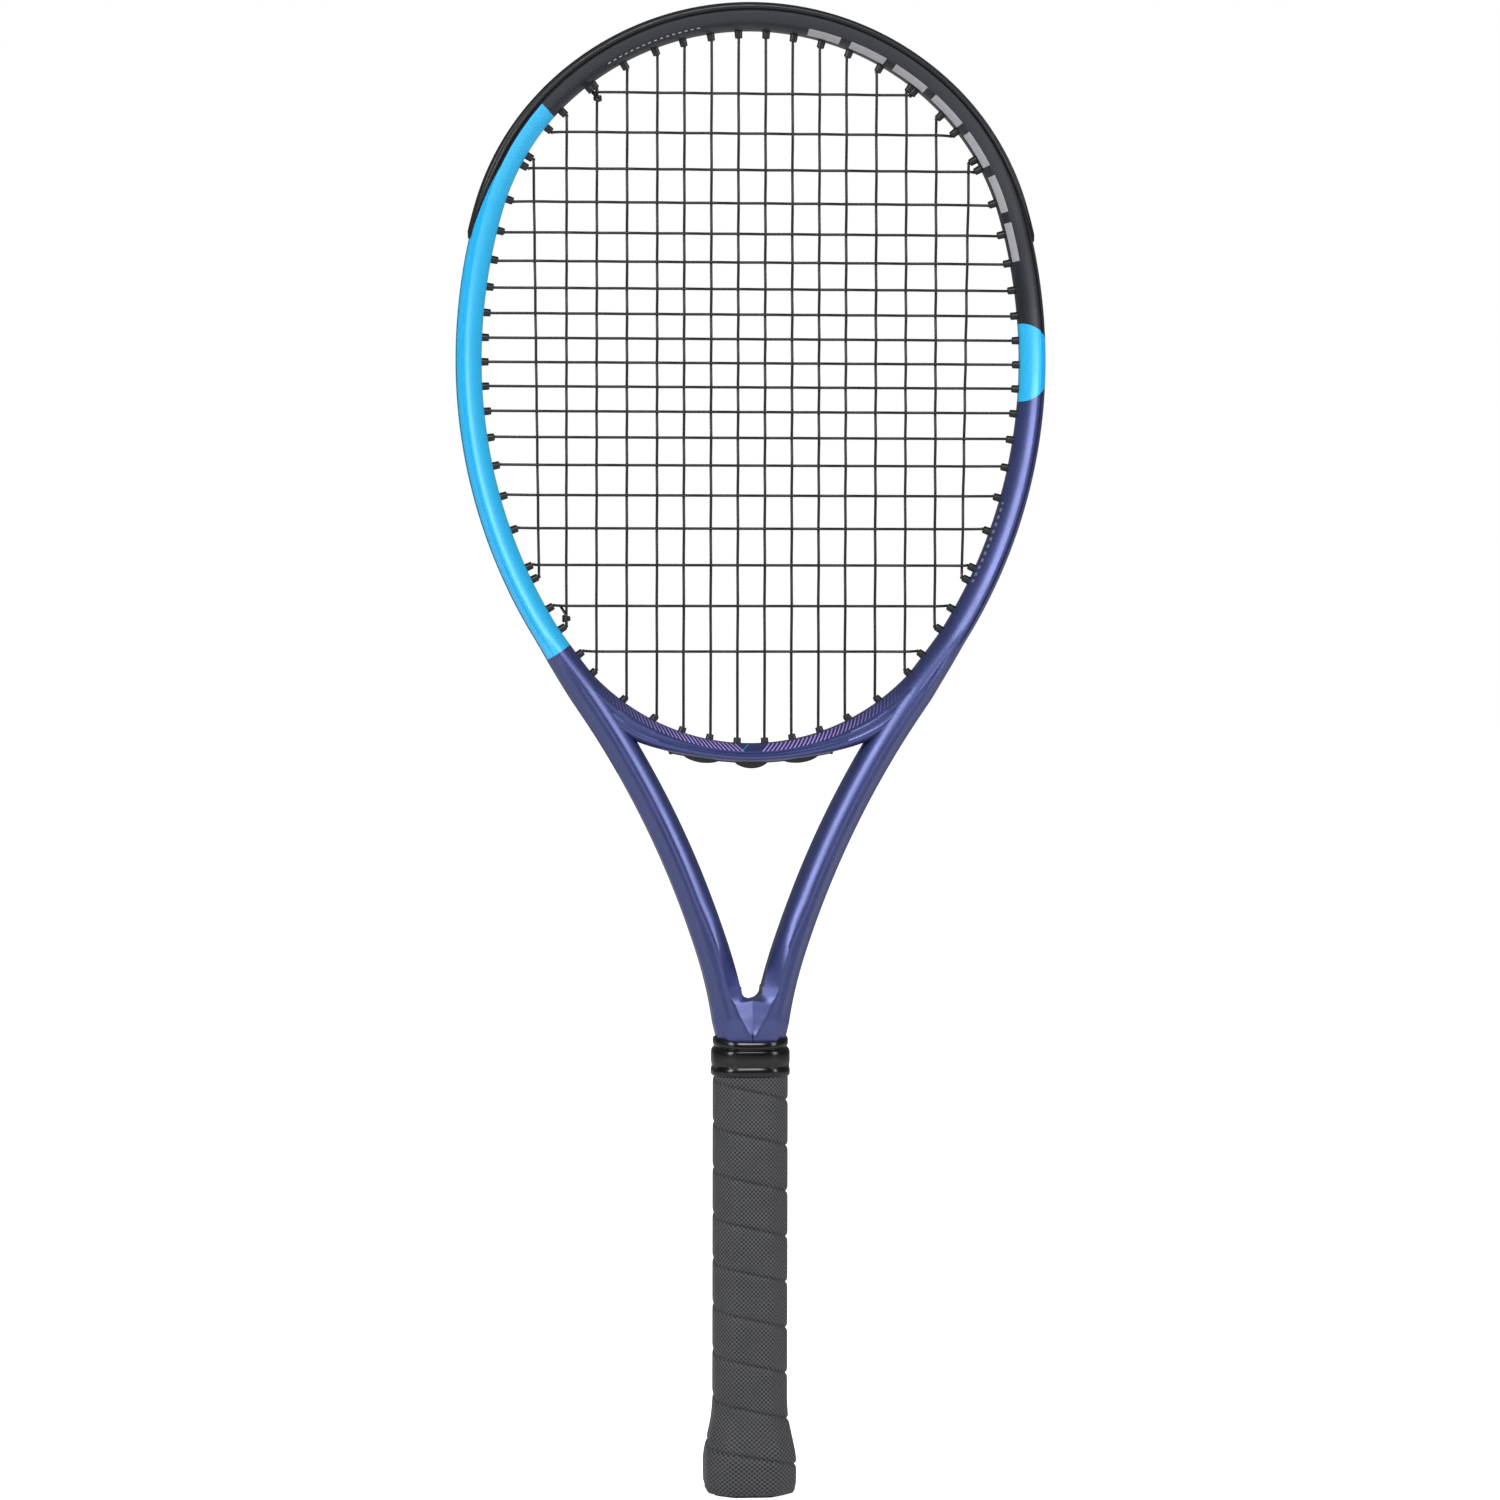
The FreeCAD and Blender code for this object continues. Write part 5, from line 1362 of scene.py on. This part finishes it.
def knot_lines(hole, line, beyond, start):
    """Run in the groove, then a tail that winds round the main and sticks out."""
    outside = turn_line(start, hole, -1, (SIDE_STEP, SIDE_STEP), SIDE_STEP)
    bend, ahead = line[2], line[3]
    direction = (ahead - bend).normalized()
    across = direction.cross(Vector((0, 1, 0))).normalized()
    entry = mirrored(hole.tip + hole.direction * 0.008, -1)
    tip = mirrored(hole.tip, -1)
    points = [Vector((p.x, SIDE_STEP, p.z)) for p in (entry, tip)]
    for k in range(int(KNOT_TURNS * KNOT_STEPS) + 1):
        angle = 2 * math.pi * k / KNOT_STEPS
        centre = bend + direction * (beyond + KNOT_PITCH * k / KNOT_STEPS)
        points.append(centre + Vector((0, 1, 0)) * KNOT_RADIUS * math.cos(angle)
                      + across * KNOT_RADIUS * math.sin(angle))
    last = points[-1]
    for k in range(1, 4):
        points.append(last + TAIL_LEAN.normalized() * TAIL_STEP * k + Vector((0, 0.0002 * k * k, 0)))
    return [outside, points]


class RACKET_OT_handle(bpy.types.Operator):
    """Grip, collar, butt cap and the hidden pieces under them"""
    bl_idname = "racket.handle"
    bl_label = "Handle"

    def execute(self, context):
        settings = context.scene.racket_handle
        new_object("grip_wrap", grip_mesh(settings), grip_material(settings), "grip", "grip_tape")
        rubber = plain_material("Smooth black rubber", settings.rubber, 0.20, 0.5, 0.02)
        new_object("collar", collar_mesh(), rubber, "collar_rubber", "grip_collar")
        cap = plain_material("Moulded black plastic", settings.cap, 0.45, 0.4, 0.12)
        new_object("cap", cap_mesh(), cap, "cap_plastic", "butt_cap")
        foam = plain_material("Moulded polyurethane foam", "#B9A987", 0.8, 0.6, 0.6)
        steel = plain_material("Bright steel wire", "#B4B6B8", 0.25, 0.2, 0.05, Metallic=1.0)
        tape = plain_material("Black adhesive tape", "#1B1B1D", 0.5, 0.5, 0.1)
        for node, material in (("handle_pallet", foam), ("butt_cap_staples", steel),
                               ("grip_tack", steel), ("finishing_tape", tape)):
            dress(node, material)
        return {"FINISHED"}


def dress(node, material):
    """Give a kept CAD node a finish."""
    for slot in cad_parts[node].material_slots:
        slot.material = material


COLLAR_DIP = 0.0027           # how far the top lip dips at the front and back
COLLAR_SHARPNESS = 12.0       # its corners are rounder than the handle's


def collar_mesh():
    """Rolled rubber collar: bottom bead, broad band, neck and a top lip that dips front and back."""
    low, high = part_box("grip_collar")[0][2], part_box("grip_collar")[1][2]
    tall = high - low
    outside = [(0.0, 34.9), (0.02, 35.8), (0.06, 36.25), (0.13, 36.3), (0.19, 36.1), (0.225, 35.5),
               (0.245, 35.1), (0.27, 35.2), (0.30, 35.7), (0.34, 36.0), (0.44, 36.15), (0.56, 36.15),
               (0.64, 36.0), (0.69, 35.4), (0.72, 34.4), (0.745, 33.7), (0.765, 33.6), (0.79, 34.0),
               (0.82, 34.4), (0.87, 34.55), (0.93, 34.5), (0.97, 34.2), (1.0, 33.6)]
    levels = [(low + t * tall, w * MM, (w - 4.0) * MM) for t, w in outside]
    inside = [(1.0, 32.6, 27.4), (0.97, 32.2, 26.6), (0.76, 32.1, 26.4), (0.57, 34.5, 30.5),
              (0.0, 34.5, 30.5)]
    levels += [(low + t * tall, w * MM, d * MM) for t, w, d in inside]
    mesh = levels_mesh("collar", levels + levels[:1], COLLAR_SHARPNESS, False, 55)
    deepest = max(vertex.co.y for vertex in mesh.vertices)
    for vertex in mesh.vertices:
        upper = smooth(((vertex.co.z - low) / tall - 0.62) / 0.3)
        vertex.co.z -= COLLAR_DIP * upper * (vertex.co.y / deepest) ** 2
    return mesh


def cap_mesh():
    """Butt cap: flared cup with a rounded rim and a shallow plain recess in its end face."""
    width, depth = OCTAGON[0], OCTAGON[1]
    outside = [(0.0, -6.0), (0.0006, -5.6), (0.0006, -3.0), (0.0, -2.6), (0.0, 1.8), (0.0002, 2.9),
               (0.0007, 4.1), (0.0012, 5.0), (0.0035, 7.2), (0.008, 8.0), (0.017, 8.2), (0.026, 5.0),
               (0.033, 1.8), (0.038, 0.6), (0.038, 0.1), (0.00305, 0.1)]
    levels = [(z, (width + a) * MM, (depth + a) * MM) for z, a in outside]
    return levels_mesh("cap", levels, HANDLE_SHARPNESS, True, 40)


CAMERA_MARGIN = 1.006         # height of the picture over the height of the racket
FLOOR_SIDE = 24.0
WORLD_DIM = 0.12              # strength of the surroundings that light the racket
# Lights: name, place, point aimed at, width and height, watts.
LIGHTS = [("key", (-2.0, -1.3, 1.3), (0, 0, 0.38), (0.9, 1.5), 33.0),
          ("fill", (2.0, -1.2, 1.2), (0, 0, 0.38), (0.9, 1.5), 24.0),
          ("top", (-0.1, -2.3, 2.0), (0, 0, 0.40), (1.4, 0.8), 36.0)]


class RACKET_OT_stage(bpy.types.Operator):
    """Floor, world, lights and camera"""
    bl_idname = "racket.stage"
    bl_label = "Stage"

    def execute(self, context):
        settings = context.scene.racket_stage
        build_floor(settings)
        build_world()
        for light in LIGHTS:
            area_light(*light)
        build_camera(context, settings)
        context.scene.view_settings.view_transform = "Standard"
        return {"FINISHED"}


def seen_by_camera(tree):
    """1 for what the lens sees directly, 0 for what lights or is mirrored in the racket."""
    return add(tree, "ShaderNodeLightPath").outputs["Is Camera Ray"]


def build_floor(settings):
    """Pale paper, lit to white for the lens so that it runs into the background without a line."""
    material, tree = new_material("Matt white studio paper")
    bump = add(tree, "ShaderNodeBump", {"Strength": 0.02, "Distance": 0.0001, "Height": grain(tree, 1.5)})
    finish_surface(tree, {
        "Base Color": linear(settings.floor), "Roughness": 0.9, "Normal": bump,
        "Emission Color": (1.0, 1.0, 1.0, 1.0), "Emission Strength": seen_by_camera(tree)})
    mesh = bpy.data.meshes.new("floor")
    half = FLOOR_SIDE / 2
    mesh.from_pydata([(-half, -half, 0), (half, -half, 0), (half, half, 0), (-half, half, 0)], [],
                     [(0, 1, 2, 3)])
    floor = bpy.data.objects.new("floor", mesh)
    mesh.materials.append(material)
    bpy.context.scene.collection.objects.link(floor)


def build_world():
    """White behind the racket; dimmer all round it, so that its edges stay dark as in a studio."""
    world = bpy.data.worlds.new("Studio white")
    world.use_nodes = True
    tree = world.node_tree
    background = tree.nodes["Background"]
    background.inputs["Color"].default_value = (1.0, 1.0, 1.0, 1.0)
    strength = add(tree, "ShaderNodeMapRange", {0: seen_by_camera(tree), 3: WORLD_DIM, 4: 1.0})
    tree.links.new(strength.outputs[0], background.inputs["Strength"])
    bpy.context.scene.world = world


def area_light(name, place, aim, size, power):
    """Rectangular light that points at its aim."""
    data = bpy.data.lights.new(name, "AREA")
    data.shape = "RECTANGLE"
    data.size, data.size_y = size
    data.energy = power
    light = bpy.data.objects.new(name, data)
    light.location = place
    light.rotation_euler = (Vector(aim) - Vector(place)).to_track_quat("-Z", "Y").to_euler()
    bpy.context.scene.collection.objects.link(light)


def build_camera(context, settings):
    """Camera a little left of square on and below the head's middle, aimed near the racket's middle;
    the racket fills the height of the square picture."""
    data = bpy.data.cameras.new("camera")
    camera = bpy.data.objects.new("camera", data)
    a = settings.azimuth
    place = Vector((math.sin(a), -math.cos(a), 0)) * settings.distance
    place.z = settings.height
    aim = Vector((settings.aside, 0.0, settings.aim))
    camera.location = place
    turned = (aim - place).to_track_quat("-Z", "Y") @ Quaternion((0, 0, 1), settings.roll)
    camera.rotation_euler = turned.to_euler()
    tall = CAD_BOX[1][2] - CAD_BOX[0][2]
    data.angle = 2 * math.atan(tall * CAMERA_MARGIN / 2 / (aim - place).length)
    context.scene.collection.objects.link(camera)
    context.scene.camera = camera


# ---------------------------------------------------------------- add-on
class RACKET_PT_panel(bpy.types.Panel):
    """Buttons for each group of pieces"""
    bl_label = "Racket"
    bl_idname = "RACKET_PT_panel"
    bl_space_type = "VIEW_3D"
    bl_region_type = "UI"
    bl_category = "Racket"

    def draw(self, context):
        for operator in OPERATORS:
            self.layout.operator(operator.bl_idname)


SETTINGS = {"racket_frame": RacketFrameSettings, "racket_strings": RacketStringSettings,
            "racket_handle": RacketHandleSettings, "racket_stage": RacketStageSettings}
OPERATORS = [RACKET_OT_hairpin, RACKET_OT_bridge, RACKET_OT_strips, RACKET_OT_strings,
             RACKET_OT_knots, RACKET_OT_handle, RACKET_OT_stage]


def register():
    for name, group in SETTINGS.items():
        bpy.utils.register_class(group)
        setattr(bpy.types.Scene, name, bpy.props.PointerProperty(type=group))
    for cls in OPERATORS + [RACKET_PT_panel]:
        bpy.utils.register_class(cls)


def unregister():
    for cls in reversed(OPERATORS + [RACKET_PT_panel]):
        bpy.utils.unregister_class(cls)
    for name, group in SETTINGS.items():
        delattr(bpy.types.Scene, name)
        bpy.utils.unregister_class(group)


def main():
    register()
    bpy.ops.racket.hairpin()
    bpy.ops.racket.bridge()
    bpy.ops.racket.strips()
    bpy.ops.racket.strings()
    bpy.ops.racket.knots()
    bpy.ops.racket.handle()
    bpy.ops.racket.stage()


if __name__ == "__main__":
    main()
